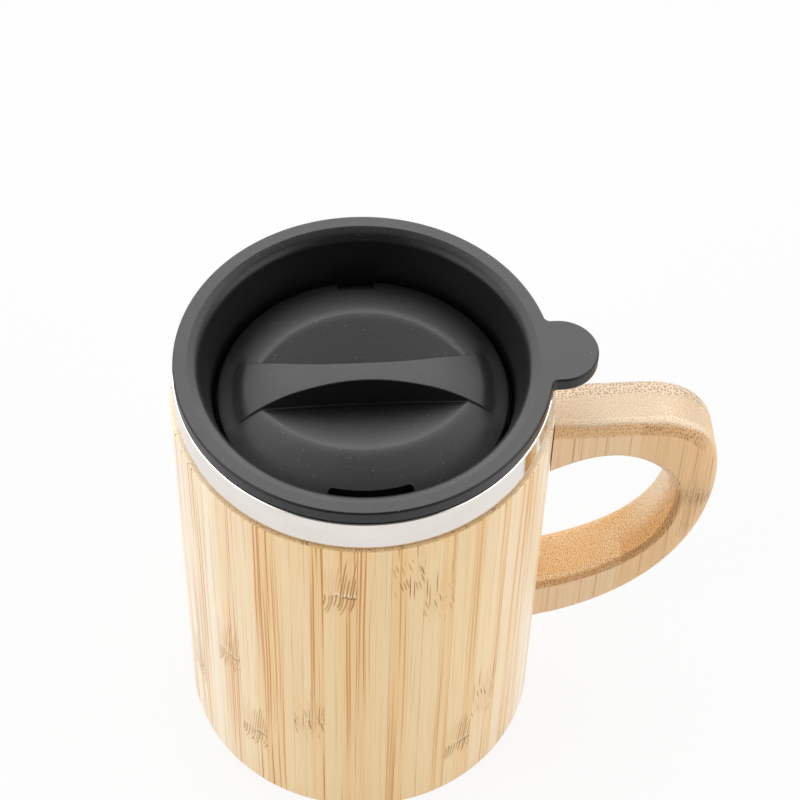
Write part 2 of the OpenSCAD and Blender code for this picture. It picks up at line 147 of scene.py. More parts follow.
# Sizes that the frame gives
sleeve_low, sleeve_high = corners("stave_19")
liner_low, liner_high = corners("steel_liner")
lid_low, lid_high = corners("lid_body")
disc_low, disc_high = corners("closure_disc")
grip_low, grip_high = corners("handle_grip")
seal_low, seal_high = corners("lid_seal")
FOOT_Z = sleeve_low.z
SLEEVE_TOP = sleeve_high.z
BODY_R = -sleeve_low.x
COLLAR_R = liner_high.x
RIM_Z = liner_high.z
LINER_Z = liner_low.z
LID_TOP = lid_high.z
FLOOR_UNDER = lid_low.z
FLANGE_R = -lid_low.x
TAB_TIP = lid_high.x
DISC_R = disc_high.x
HANDLE_TOP = grip_high.z
HANDLE_REACH = grip_high.x - BODY_R
HANDLE_W = grip_high.y - grip_low.y

# Sizes that several pieces share. Support is how far a line lies beside a round edge, to hold it
SHEET_T = 0.7
SLEEVE_WALL = 4.5
SUPPORT = 0.2

# The camera looks down at the cup from the front, a little from its left
CAMERA_AT = (-23.3, -344.2, 558.0)
CAMERA_AIM = (7.9, -7.9, 123.9)
CAMERA_ROLL = 1.81
FOCAL_PIXELS = 2399.3
IMAGE_PIXELS = 800
SENSOR = 36.0


def add_object(name, data):
    """A new object of the scene, at the origin."""
    made = bpy.data.objects.new(name, data)
    bpy.context.scene.collection.objects.link(made)
    return made


def make_camera():
    """The camera of the photograph."""
    data = bpy.data.cameras.new("camera")
    data.sensor_width = SENSOR
    data.lens = SENSOR * FOCAL_PIXELS / IMAGE_PIXELS
    data.clip_start = 0.01
    camera = add_object("camera", data)
    at = Vector(CAMERA_AT) * MM
    aim = Vector(CAMERA_AIM) * MM
    turn = (aim - at).to_track_quat("-Z", "Y").to_matrix().to_4x4()
    roll = Matrix.Rotation(math.radians(CAMERA_ROLL), 4, "Z")
    camera.matrix_world = Matrix.Translation(at) @ turn @ roll
    bpy.context.scene.camera = camera


make_camera()


# Mesh helpers: a profile's ends lie AXIS_R from the axis and merge there, a cutter reaches OVER past its cut
RING_STEPS = 288
CUTTER_STEPS = 64
ARC_STEPS = 24
END_STEPS = 8
ROUND_STEPS = 6
BEND_STEPS = 12
AXIS_R = 0.001
OVER = 1.0
MERGE = 0.002
SHARP_ANGLE = 32


def arc(centre, radius, start, end, steps):
    """Points of an arc in a plane, from one angle to another in degrees."""
    angles = np.radians(np.linspace(start, end, steps + 1))
    return [(centre[0] + radius * math.cos(a), centre[1] + radius * math.sin(a)) for a in angles]


def cubic(control, steps):
    """Points of the cubic curve with four control points."""
    p = np.array(control, float)
    t = np.linspace(0, 1, steps + 1)[:, None]
    return (1 - t) ** 3 * p[0] + 3 * t * (1 - t) ** 2 * p[1] + 3 * t * t * (1 - t) * p[2] + t ** 3 * p[3]


def new_object(name, points, faces):
    """An object at the origin from points in millimetres, with its doubles merged and faces outward."""
    mesh = bpy.data.meshes.new(name)
    mesh.from_pydata((np.asarray(points, float) * MM).tolist(), [], faces)
    made = add_object(name, mesh)
    clean(made)
    return made


def clean(piece):
    """Merges doubles, drops slivers and turns the faces outward."""
    bm = bmesh.new()
    bm.from_mesh(piece.data)
    bmesh.ops.remove_doubles(bm, verts=bm.verts, dist=MERGE * MM)
    bmesh.ops.dissolve_degenerate(bm, edges=bm.edges, dist=MERGE * MM / 4)
    bmesh.ops.recalc_face_normals(bm, faces=bm.faces)
    bm.to_mesh(piece.data)
    bm.free()


def smooth(piece):
    """Shades a piece smooth, apart from its sharp edges."""
    bm = bmesh.new()
    bm.from_mesh(piece.data)
    limit = math.radians(SHARP_ANGLE)
    for face in bm.faces:
        face.smooth = True
    for edge in bm.edges:
        edge.smooth = len(edge.link_faces) == 2 and edge.calc_face_angle(0) < limit
    bm.to_mesh(piece.data)
    bm.free()


def rings_to_faces(rings, points, closed_rings):
    """Quads between rings of as many points each. The last ring joins the first where it is closed."""
    faces = []
    for k in range(rings if closed_rings else rings - 1):
        a = k * points
        b = (k + 1) % rings * points
        faces += [(a + i, a + (i + 1) % points, b + (i + 1) % points, b + i) for i in range(points)]
    return faces


def tube_faces(rings, points):
    """Quads between open rings of as many points each, and a cap at each end."""
    last = (rings - 1) * points
    caps = [tuple(range(points - 1, -1, -1)), tuple(range(last, last + points))]
    return rings_to_faces(rings, points, False) + caps


def ring_at(ways, place):
    """A ring of points in given directions from the axis, at a place of radius and height."""
    return np.column_stack([place[0] * ways, np.full(len(ways), place[1])])


def revolve(name, profile, segments=RING_STEPS):
    """A closed profile of radius and height turned round the cup's axis."""
    angles = np.linspace(0, 2 * math.pi, segments, endpoint=False)
    ways = np.column_stack([np.cos(angles), np.sin(angles)])
    rings = [ring_at(ways, place) for place in profile]
    return new_object(name, np.vstack(rings), rings_to_faces(len(profile), segments, True))


def settle(piece, modifier):
    """Makes what a modifier gives the piece's plain mesh, and removes the modifier."""
    shown = piece.evaluated_get(bpy.context.evaluated_depsgraph_get())
    mesh = bpy.data.meshes.new_from_object(shown)
    piece.modifiers.remove(modifier)
    piece.data = mesh


def boolean(piece, cutter, operation="DIFFERENCE"):
    """Cuts, keeps or joins a piece by another, which is then removed."""
    modifier = piece.modifiers.new("cut", "BOOLEAN")
    modifier.operation = operation
    modifier.solver = "EXACT"
    modifier.object = cutter
    settle(piece, modifier)
    bpy.data.objects.remove(cutter)
    clean(piece)


def block(low, high):
    """A cutter with square corners."""
    x, y, z = zip(low, high)
    points = [(x[i], y[j], z[k]) for i in (0, 1) for j in (0, 1) for k in (0, 1)]
    faces = [(0, 1, 3, 2), (4, 6, 7, 5), (0, 4, 5, 1), (2, 3, 7, 6), (0, 2, 6, 4), (1, 5, 7, 3)]
    return new_object("cutter", points, faces)


def upright_cutter(outline, low, high):
    """A cutter with one outline from a lower to a higher level."""
    points = [(x, y, z) for z in (low, high) for x, y in outline]
    return new_object("cutter", points, tube_faces(2, len(outline)))


def round_cutter(x, y, low, high, radius, segments=CUTTER_STEPS):
    """An upright round cutter."""
    angles = np.linspace(0, 2 * math.pi, segments, endpoint=False)
    outline = np.column_stack([x + radius * np.cos(angles), y + radius * np.sin(angles)])
    return upright_cutter(outline, low, high)


def arc_cutter(inner, outer, start, end, low, high):
    """An upright cutter along an arc round the cup's axis, in degrees, with round ends."""
    middle, half = (inner + outer) / 2, (outer - inner) / 2

    def round_end(angle, first):
        a = math.radians(angle)
        return arc((middle * math.cos(a), middle * math.sin(a)), half, first, first + 180, END_STEPS)[1:-1]

    outline = arc((0, 0), outer, start, end, ARC_STEPS) + round_end(end, end)
    outline += arc((0, 0), inner, end, start, ARC_STEPS) + round_end(start, start + 180)
    return upright_cutter(outline, low, high)


# Lid: flange with thumb tab, lip, funnel, well, floor and plug
TAB_W = 18.0
FLANGE_T = 3.7
EDGE_R = 0.5
FLANGE_FLAT = 2.6
LIP_CREASE_R = 0.4
LIP_SLOPE = 25.0
LIP_W = 1.3
LIP_R = 3.0
FUNNEL_SLOPE = 76.0
WELL_CORNER_R = 1.3
TAB_FILLET_R = 1.5
FLOOR_T = 2.2
WELL_H = 3.4
FUNNEL_BOW = 1.2
POST_D = 9.9
POST_GAP = 0.05
DISC_GAP = 1.1
DISC_LIFT = 0.3
NOTCH_T = 4.1
PLUG_WALL = 3.6
SEAL_DEPTH = 3.2
SEAL_GROOVE = 1.4
SEAL_PLAY = 0.05
SLOT_W = 17.0
SLOT_T = 3.6
VENT_D = 2.2
FLANGE_Z = LID_TOP - FLANGE_T
FLOOR_Z = FLOOR_UNDER + FLOOR_T
WELL_R = DISC_R + DISC_GAP
PLUG_R = WELL_R + PLUG_WALL
LIP_TOP_R = FLANGE_R - EDGE_R - FLANGE_FLAT
GROOVE_R = seal_high.x - SEAL_DEPTH
RIB_R = GROOVE_R + SEAL_GROOVE
GROOVE_TOP = seal_high.z + SEAL_PLAY
GROOVE_Z = seal_low.z - SEAL_PLAY
NOTCH_R = DISC_R - NOTCH_T
VENT_R = (NOTCH_R + DISC_R) / 2
SLOT_R = (NOTCH_R + WELL_R) / 2
PEG_R = POST_D / 8
PEG_PLACE_R = 1.5 * POST_D
PEG_H = FLOOR_T / 2
TAB_STEPS = 24
FILLET_STEPS = 8
FLANGE_STEPS = 300
FUNNEL_STEPS = 20
CREASE_STEPS = 3


def lid_outline():
    """Points of the flange's and tab's outline anticlockwise from the tab's tip, with their normals."""
    tab_r = TAB_W / 2
    tab_x = TAB_TIP - tab_r
    fillet_y = tab_r + TAB_FILLET_R
    fillet_x = math.sqrt((FLANGE_R + TAB_FILLET_R) ** 2 - fillet_y ** 2)
    meet = math.degrees(math.atan2(fillet_y, fillet_x))
    points, normals = [], []

    def add(centre, radius, start, end, steps, inward=False):
        for a in np.radians(np.linspace(start, end, steps, endpoint=False)):
            d = np.array([math.cos(a), math.sin(a)])
            points.append(np.array(centre) + radius * d)
            normals.append(-d if inward else d)

    add((tab_x, 0), tab_r, 0, 90, TAB_STEPS)
    points.append(np.array([(tab_x + fillet_x) / 2, tab_r]))
    normals.append(np.array([0.0, 1.0]))
    add((fillet_x, fillet_y), TAB_FILLET_R, -90, meet - 180, FILLET_STEPS, True)
    add((0, 0), FLANGE_R, meet, 360 - meet, FLANGE_STEPS)
    add((fillet_x, -fillet_y), TAB_FILLET_R, 180 - meet, 90, FILLET_STEPS, True)
    points.append(np.array([fillet_x, -tab_r]))
    normals.append(np.array([0.0, -1.0]))
    add((tab_x, 0), tab_r, -90, 0, TAB_STEPS)
    return np.array(points), np.array(normals)


def lip_profile():
    """Places from the funnel's wall up to the flange: a roll, a short slope and a small round crease."""
    lean = math.radians(LIP_SLOPE)
    crease = arc((LIP_TOP_R, LID_TOP - LIP_CREASE_R), LIP_CREASE_R, 90 + LIP_SLOPE, 90, CREASE_STEPS)
    r, z = crease[0][0] - LIP_W, crease[0][1] - LIP_W * math.tan(lean)
    centre = (r + LIP_R * math.sin(lean), z - LIP_R * math.cos(lean))
    return arc(centre, LIP_R, 90 + FUNNEL_SLOPE, 90 + LIP_SLOPE, BEND_STEPS) + crease


def make_lid():
    """The whole lid as one skin, then its slot, vent hole and the groove for the disc's stop peg."""
    outline, normals = lid_outline()
    angles = np.arctan2(outline[:, 1], outline[:, 0])
    ways = np.column_stack([np.cos(angles), np.sin(angles)])
    count = len(outline)

    def edge(offset, z):
        return np.column_stack([outline - offset * normals, np.full(count, z)])

    lip = lip_profile()
    steep = math.radians(FUNNEL_SLOPE)
    bow = 3 * FUNNEL_BOW
    funnel = cubic([
        (WELL_R, FLOOR_Z + WELL_H), (WELL_R, FLOOR_Z + WELL_H + bow),
        (lip[0][0] - bow * math.cos(steep), lip[0][1] - bow * math.sin(steep)), lip[0],
    ], FUNNEL_STEPS)
    bore_r = POST_D / 2 + POST_GAP
    inner = [(bore_r, FLOOR_Z)]
    corner = (WELL_R - WELL_CORNER_R, FLOOR_Z + WELL_CORNER_R)
    inner += arc(corner, WELL_CORNER_R, -90, 0, ROUND_STEPS)
    inner += [tuple(p) for p in funnel[:-1]] + lip
    inner += [(LIP_TOP_R + SUPPORT, LID_TOP)]
    rings = [ring_at(ways, place) for place in inner]
    rings += [edge(EDGE_R + SUPPORT, LID_TOP)]
    rings += [edge(EDGE_R - dx, z) for dx, z in arc((0, LID_TOP - EDGE_R), EDGE_R, 90, 0, ROUND_STEPS)]
    rings += [edge(0, LID_TOP - EDGE_R - SUPPORT), edge(0, FLANGE_Z + EDGE_R + SUPPORT)]
    rings += [edge(EDGE_R - dx, z) for dx, z in arc((0, FLANGE_Z + EDGE_R), EDGE_R, 0, -90, ROUND_STEPS)]
    rings += [edge(EDGE_R + SUPPORT, FLANGE_Z)]
    plug = [
        (RIB_R, FLANGE_Z), (RIB_R, GROOVE_TOP), (GROOVE_R, GROOVE_TOP), (GROOVE_R, GROOVE_Z),
        (RIB_R, GROOVE_Z), (RIB_R, GROOVE_Z - SEAL_GROOVE), (PLUG_R, SLEEVE_TOP + SHEET_T),
        (PLUG_R, FLOOR_UNDER + EDGE_R), (PLUG_R - EDGE_R, FLOOR_UNDER), (bore_r, FLOOR_UNDER),
    ]
    rings += [ring_at(ways, place) for place in plug]
    lid = new_object("lid", np.vstack(rings), rings_to_faces(len(rings), count, True))
    half = math.degrees(math.asin(SLOT_W / 2 / SLOT_R)) - math.degrees(SLOT_T / 2 / SLOT_R)
    low, high = FLOOR_UNDER - OVER, FLOOR_Z + OVER
    boolean(lid, arc_cutter(SLOT_R - SLOT_T / 2, SLOT_R + SLOT_T / 2, -90 - half, -90 + half, low, high))
    boolean(lid, round_cutter(0, VENT_R, low, high, VENT_D / 2))
    groove, groove_z = PEG_R + DISC_LIFT, FLOOR_Z - PEG_H - DISC_LIFT
    boolean(lid, arc_cutter(PEG_PLACE_R - groove, PEG_PLACE_R + groove, 180, 270, groove_z, high))
    smooth(lid)
    return lid


# Closure disc: a dome with a grip bar between two finger scoops, a rim lip, and notches for drink and air
DOME_R = 78.0
BAR_W = 5.2
BAR_WALL_R = 72.0
SCOOP_MARGIN = 2.4
SCOOP_OFFSET = 7.5
SCOOP_DEPTH = 8.7
SCOOP_SLOPE = math.radians(17.9)
SCOOP_FLOOR_R = 96.0
DISC_WALL = 1.6
NOTCH_W = 19.6
VENT_NOTCH_W = 9.0
NOTCH_CORNER_R = 1.0
NOTCH_DEEPER = 0.4
BAR_LIFT = 0.4
BAR_LIFT_AT = (10, 20)
BAR_EDGE_R = 0.3
BAR_EDGE_REACH = 1.0
BAR_WALL_SHARE = 0.72
SCOOP_LEAST_W = 0.8
SCOOP_SHARE = 0.9
BAR_END_R = DISC_R - 3.4
BAR_FADE = 3.2
VALLEY_DEPTH = 0.32
VALLEY_HALF_ANGLE = 20.0
SCOOP_EDGE = 0.6
GRID_R = DISC_R - 2.6
SHOULDER_START_R = DISC_R - 5.0
SHOULDER_DROP = 0.3
RIM_EDGE_R = 0.8
DOME_TOP = disc_high.z
DISC_Z = FLOOR_Z + DISC_LIFT
SCOOP_R = NOTCH_R - SCOOP_MARGIN
SCOOP_FLOOR_Z = DOME_TOP - SCOOP_DEPTH
DISC_COLUMNS = 160
# Places across an edge in shares of its reach, and their heights in shares of its depth
BAR_SHARES = (0, 0.3, 0.6)
CREST_ROUND = ((0.5, 0), (0.3, 0), (0.14, 0.1), (0.04, 0.4), (0, 1))
FOOT_ROUND = ((0.12, 1), (0.18, 0.4), (0.3, 0.1), (0.5, 0))
RIM_ROUND = (-0.25, 0, 0.25, 0.5)
SCOOP_ROWS = 14
RIM_ROWS = 9
RIM_RINGS = 10
RIM_EDGE_STEPS = 7


def ease(low, high, value):
    """0 below low, 1 above high, and smooth between."""
    t = np.clip((value - low) / (high - low), 0, 1)
    return t * t * (3 - 2 * t)


def dome(r):
    """Height of the dome at a distance from the axis."""
    return DOME_TOP - DOME_R + np.sqrt(DOME_R ** 2 - r ** 2)


def disc_top(r):
    """Height of the disc's top without bar and scoops: the dome, then a slightly steeper rim."""
    return dome(r) - SHOULDER_DROP * ease(SHOULDER_START_R, DISC_R, r)


def valley(x, y):
    """Depth of the soft valleys between the bar's two ends and the rim."""
    r = math.hypot(x, y)
    off = math.degrees(math.atan2(abs(y), abs(x)))
    deep = ease(BAR_END_R - BAR_FADE, BAR_END_R, r) * (1 - ease(BAR_END_R, DISC_R, r))
    return VALLEY_DEPTH * float(deep * (1 - ease(0.75 * VALLEY_HALF_ANGLE, 1.25 * VALLEY_HALF_ANGLE, off)))


RIM_LEAN = math.asin((DISC_R - RIM_EDGE_R) / DOME_R)
RIM_R = DISC_R - RIM_EDGE_R * (1 - math.sin(RIM_LEAN))
RIM_CENTRE_Z = float(disc_top(RIM_R)) - RIM_EDGE_R * math.cos(RIM_LEAN)


def scoop_floor(x, y):
    """Height of a scoop's dished and sloping floor."""
    dish = SCOOP_FLOOR_R - np.sqrt(SCOOP_FLOOR_R ** 2 - x ** 2)
    return SCOOP_FLOOR_Z + (np.abs(y) - BAR_W / 2) * math.tan(SCOOP_SLOPE) + dish / math.cos(SCOOP_SLOPE)


def bar_edge(x):
    """Distance of the bar's curved walls from its middle line."""
    return BAR_W / 2 + BAR_WALL_R - np.sqrt(BAR_WALL_R ** 2 - x ** 2)


def scoop_edge(x):
    """Distance of the scoops' outer edges from the bar's middle line."""
    return np.sqrt(np.maximum(SCOOP_R ** 2 - x ** 2, 0)) - SCOOP_OFFSET


def soft_min(first, second, soft):
    """The smaller of two heights, rounded where they cross."""
    near = max(1 - abs(first - second) / soft, 0)
    return min(first, second) - near * near * soft / 4


def half_column(x):
    """Places from the bar's middle line out to the grid's edge: distance, and height of the top."""
    end = math.sqrt(GRID_R ** 2 - x ** 2)
    wall = min(float(bar_edge(x)), BAR_WALL_SHARE * end)
    rim = min(max(float(scoop_edge(x)), wall + SCOOP_LEAST_W), wall + SCOOP_SHARE * (end - wall))
    scooped = float(scoop_edge(x)) > float(bar_edge(x))
    lift = BAR_LIFT * float(ease(*BAR_LIFT_AT, abs(x)))
    floor_z = min(float(scoop_floor(x, wall)), float(disc_top(math.hypot(x, wall))))
    rise = (float(disc_top(math.hypot(x, rim))) - floor_z) / (rim - wall)

    def bar_z(y):
        r = math.hypot(x, y)
        return float(disc_top(r) + lift * (1 - ease(BAR_END_R - BAR_FADE, BAR_END_R, r))) - valley(x, y)

    def low_z(y):
        top = float(disc_top(math.hypot(x, y))) - valley(x, y)
        return soft_min(top, floor_z + rise * (y - wall), SCOOP_EDGE) if scooped else top

    def even(start, stop, rows):
        return [start + share * (stop - start) for share in np.linspace(0, 1, rows)[1:]]

    depth = bar_z(wall) - low_z(wall + BAR_EDGE_R)
    soft = min(BAR_EDGE_R, depth / 2)
    reach = min(BAR_EDGE_REACH, wall / 1.5, (end - wall) / 3)
    places = [(wall * share, bar_z(wall * share)) for share in BAR_SHARES]
    for back, drop in CREST_ROUND:
        y = wall - back * reach
        places.append((y, bar_z(y) - drop * soft))
    for out, up in FOOT_ROUND:
        y = wall + out * reach
        places.append((y, low_z(y) + up * soft))
    places += [(y, low_z(y)) for y in even(wall + 0.5 * reach, rim - 0.5 * reach, SCOOP_ROWS)]
    places += [(rim + out * reach, low_z(rim + out * reach)) for out in RIM_ROUND]
    for y in even(rim + 0.5 * reach, end, RIM_ROWS):
        places.append((y, float(disc_top(math.hypot(x, y))) - valley(x, y)))
    return places


def underside(x, y):
    """Height of the disc's hollow underside, solid under the bar."""
    r = math.hypot(x, y)
    near = max(abs(y), float(bar_edge(x)))
    skin = min(float(disc_top(r)), float(scoop_floor(x, near))) - DISC_WALL
    return DISC_Z + (max(skin, DISC_Z) - DISC_Z) * float(1 - ease(SCOOP_R, NOTCH_R - DISC_WALL, r))


def bridge(first, second):
    """Quads between two rings of points, given by their numbers."""
    after = [(k + 1) % len(first) for k in range(len(first))]
    return [(first[k], second[k], second[n], first[n]) for k, n in enumerate(after)]


def disc_shell():
    """The disc's skin: columns across the dome inside a round edge, and rings from there round the rim."""
    columns = DISC_COLUMNS
    table, faces = [], []
    for i in range(1, columns):
        x = -GRID_R * math.cos(math.pi * i / columns)
        half = half_column(x)
        table.append([(x, -y, z) for y, z in reversed(half[1:])] + [(x, y, z) for y, z in half])
    rows = len(table[0])
    top = np.array(table).reshape(-1, 3)
    under = np.array([(x, y, underside(x, y)) for x, y, _ in top])
    points = top.tolist() + under.tolist()
    low = len(top)
    for i in range(columns - 2):
        for k in range(rows - 1):
            a, b = i * rows + k, (i + 1) * rows + k
            faces.append((a, b, b + 1, a + 1))
            faces.append((low + a, low + a + 1, low + b + 1, low + b))
    first, last = len(points), len(points) + 1
    end_z = float(disc_top(GRID_R)) - valley(GRID_R, 0)
    points += [(x, 0, z) for z in (end_z, DISC_Z) for x in (-GRID_R, GRID_R)]
    end = (columns - 2) * rows
    for k in range(rows - 1):
        faces.append((first, k, k + 1))
        faces.append((last, end + k + 1, end + k))
        faces.append((first + 2, low + k + 1, low + k))
        faces.append((last + 2, low + end + k, low + end + k + 1))

    def grid_edge(start, pole):
        """Numbers of the points round a grid, whose two end points follow each other."""
        near = [start + i * rows for i in range(columns - 1)]
        return [pole] + near + [pole + 1] + [k + rows - 1 for k in reversed(near)]

    top_edge, under_edge = grid_edge(0, first), grid_edge(low, first + 2)
    rim = [(r, float(disc_top(r))) for r in np.linspace(GRID_R, RIM_R, RIM_RINGS)[1:-1]]
    rim_start = 90 - math.degrees(RIM_LEAN)
    rim += arc((DISC_R - RIM_EDGE_R, RIM_CENTRE_Z), RIM_EDGE_R, rim_start, 0, RIM_EDGE_STEPS)
    rim += [(DISC_R, RIM_CENTRE_Z - SUPPORT), (DISC_R, DISC_Z + DISC_LIFT), (DISC_R - DISC_LIFT, DISC_Z)]
    angles = [math.atan2(points[k][1], points[k][0]) for k in top_edge]
    before = top_edge
    for r, z in rim:
        ring = list(range(len(points), len(points) + len(angles)))
        spots = [(r * math.cos(a), r * math.sin(a)) for a in angles]
        points += [(x, y, z - valley(x, y)) for x, y in spots]
        faces += bridge(before, ring)
        before = ring
    return new_object("closure", points, faces + bridge(before, under_edge))


def notch_cutter(width, angle):
    """A cutter for a notch in the disc's rim, its inner corners a little round."""
    half, r = width / 2, NOTCH_CORNER_R
    inner = NOTCH_R - NOTCH_DEEPER
    corner = math.sqrt((inner + r) ** 2 - (half - r) ** 2)
    spread = math.degrees(math.atan2(half - r, corner))
    far = DISC_R + 2 * OVER
    outline = [(far, -half), (far, half)]
    outline += arc((corner, half - r), r, 90, 180 + spread, ROUND_STEPS)
    outline += arc((0, 0), inner, spread, -spread, ARC_STEPS)[1:-1]
    outline += arc((corner, r - half), r, 180 - spread, 270, ROUND_STEPS)
    turn = math.radians(angle)
    c, s = math.cos(turn), math.sin(turn)
    outline = [(x * c - y * s, x * s + y * c) for x, y in outline]
    return upright_cutter(outline, DISC_Z - OVER, DOME_TOP)


def make_closure():
    """The disc with its notches, pivot post and stop peg."""
    disc = disc_shell()
    boolean(disc, notch_cutter(NOTCH_W, -90))
    boolean(disc, notch_cutter(VENT_NOTCH_W, 90))
    post_r, lip = POST_D / 2, DISC_WALL / 2
    foot = FLOOR_UNDER - DISC_LIFT / 2
    tip = foot - 2 * DISC_WALL
    post = revolve("post", [
        (AXIS_R, DISC_Z + OVER), (post_r, DISC_Z + OVER), (post_r, foot), (post_r + lip, foot),
        (post_r + lip, foot - lip), (post_r - lip, tip), (AXIS_R, tip),
    ], CUTTER_STEPS)
    boolean(disc, post, "UNION")
    peg = round_cutter(-PEG_PLACE_R, 0, FLOOR_Z - PEG_H, DISC_Z + OVER, PEG_R, CUTTER_STEPS // 2)
    boolean(disc, peg, "UNION")
    for across in ((DISC_WALL / 2, POST_D), (POST_D, DISC_WALL / 2)):
        low = (-across[0], -across[1], foot - 4 * DISC_WALL)
        boolean(disc, block(low, (across[0], across[1], DISC_Z - OVER)))
    smooth(disc)
    return disc


# Steel liner: one drawn sheet with soft bends
LINER_GAP = 0.25
LINER_CORNER_R = 6.0
BEND_R = 0.5


def make_liner():
    """The cup with its round foot, and the collar that stands out on the sleeve's end."""
    outer_r = BODY_R - SLEEVE_WALL - LINER_GAP
    inner_r = outer_r - SHEET_T
    collar_in = COLLAR_R - SHEET_T
    centre = (outer_r - LINER_CORNER_R, LINER_Z + LINER_CORNER_R)
    shelf = SLEEVE_TOP + SHEET_T
    profile = [(AXIS_R, LINER_Z)]
    profile += arc(centre, LINER_CORNER_R, -90, 0, BEND_STEPS)
    profile += [(outer_r, SLEEVE_TOP)]
    profile += arc((COLLAR_R - BEND_R, SLEEVE_TOP + BEND_R), BEND_R, -90, 0, ROUND_STEPS)
    profile += [(COLLAR_R, SLEEVE_TOP + BEND_R + SUPPORT), (COLLAR_R, RIM_Z - SHEET_T / 2 - SUPPORT)]
    profile += arc((COLLAR_R - SHEET_T / 2, RIM_Z - SHEET_T / 2), SHEET_T / 2, 0, 180, BEND_STEPS)
    profile += [(collar_in, shelf + BEND_R + SUPPORT)]
    profile += arc((collar_in - BEND_R, shelf + BEND_R), BEND_R, 0, -90, ROUND_STEPS)
    profile += arc((inner_r + BEND_R, shelf - BEND_R), BEND_R, 90, 180, ROUND_STEPS)
    profile += [(inner_r, shelf - BEND_R - SUPPORT)]
    profile += arc(centre, LINER_CORNER_R - SHEET_T, 0, -90, BEND_STEPS)
    profile += [(AXIS_R, LINER_Z + SHEET_T)]
    liner = revolve("liner", profile)
    smooth(liner)
    return liner


# Lid seal: a silicone ring with two fins
SEAL_FIN_R = 0.15
SEAL_FIN_TURN = 60
SEAL_STEPS = 192


def make_seal():
    """The ring in the plug's groove."""
    low, high = seal_low.z, seal_high.z
    quarter = (high - low) / 4
    fin = seal_high.x - SEAL_FIN_R
    profile = [(GROOVE_R + SEAL_PLAY, low), (RIB_R, low)]
    profile += arc((fin, low + quarter), SEAL_FIN_R, -SEAL_FIN_TURN, SEAL_FIN_TURN, ROUND_STEPS)
    profile += [(RIB_R, low + 2 * quarter)]
    profile += arc((fin, low + 3 * quarter), SEAL_FIN_R, -SEAL_FIN_TURN, SEAL_FIN_TURN, ROUND_STEPS)
    profile += [(RIB_R, high), (GROOVE_R + SEAL_PLAY, high)]
    seal = revolve("seal", profile, SEAL_STEPS)
    smooth(seal)
    return seal


# Handle screws: the holes that they fill
SCREW_D = 3.5
SCREW_HEAD_D = 5.6
SCREW_LEN = 16.0
SCREW_GAP = 0.05
SCREW_SINK = 0.15
SCREW_RIM = SCREW_SINK + SCREW_D / 10
SCREW_STEPS = 32
BORE_R = BODY_R - SLEEVE_WALL
UPPER_ROOT_H = 17.4
LOWER_ROOT_H = 16.7
HANDLE_H = 81.6
SCREW_HEIGHTS = (HANDLE_TOP - HANDLE_H + LOWER_ROOT_H / 2, HANDLE_TOP - UPPER_ROOT_H / 2)


def screw_cutter(height):
    """The hole of one countersunk screw, from inside the sleeve out along +X."""
    shank, head = SCREW_D / 2 + SCREW_GAP, SCREW_HEAD_D / 2 + SCREW_GAP
    hole = revolve("cutter", [
        (AXIS_R, -OVER), (head, -OVER), (head, SCREW_RIM), (shank, SCREW_RIM + head - shank),
        (shank, SCREW_LEN - SCREW_D), (AXIS_R, SCREW_LEN + SCREW_SINK),
    ], SCREW_STEPS)
    hole.data.transform(Matrix.Rotation(math.radians(90), 4, "Y"))
    hole.data.transform(Matrix.Translation(Vector((BORE_R, 0, height)) * MM))
    return hole


# Handle: a D cut from a glued board, its edges rounded, in three pieces
ARM_T = 12.0
GRIP_T = 10.1
OUTER_EDGE_R = 3.8
INNER_EDGE_R = 2.5
HANDLE_SEAM = 20.6
SEAT_LEAN = 1.0
ROOT_OVER = 3.0
OUTER_SIDE_Z = 0.303 * HANDLE_H
HOLE_REACH = HANDLE_REACH - GRIP_T
HOLE_FLOOR = HANDLE_H - LOWER_ROOT_H
HOLE_SIDE_Z = 0.45 * HOLE_FLOOR
STRETCH_STEPS = (16, 32, 52)
EDGE_STEPS = 8
SEAT_STEPS = 576
# Three curves along each side of the D, as ways out from the sleeve and down from the handle's top
OUTER_CURVES = [
    [(0, 0), (0.17 * HANDLE_REACH, 0), (0.35 * HANDLE_REACH, 0), (0.52 * HANDLE_REACH, 0)],
    [
        (0.52 * HANDLE_REACH, 0), (0.815 * HANDLE_REACH, 0),
        (HANDLE_REACH, 0.26 * OUTER_SIDE_Z), (HANDLE_REACH, OUTER_SIDE_Z),
    ],
    [
        (HANDLE_REACH, OUTER_SIDE_Z), (HANDLE_REACH, 0.66 * HANDLE_H),
        (0.592 * HANDLE_REACH, 0.925 * HANDLE_H), (0, HANDLE_H),
    ],
]
INNER_CURVES = [
    [
        (0, UPPER_ROOT_H), (0.144 * HOLE_REACH, ARM_T + 0.46 * (UPPER_ROOT_H - ARM_T)),
        (0.3 * HOLE_REACH, ARM_T), (0.457 * HOLE_REACH, ARM_T),
    ],
    [
        (0.457 * HOLE_REACH, ARM_T), (0.75 * HOLE_REACH, ARM_T),
        (HOLE_REACH, ARM_T + 0.54 * (HOLE_SIDE_Z - ARM_T)), (HOLE_REACH, HOLE_SIDE_Z),
    ],
    [
        (HOLE_REACH, HOLE_SIDE_Z), (HOLE_REACH, 0.765 * HOLE_FLOOR),
        (0.56 * HOLE_REACH, 0.93 * HOLE_FLOOR), (0, HOLE_FLOOR),
    ],
]


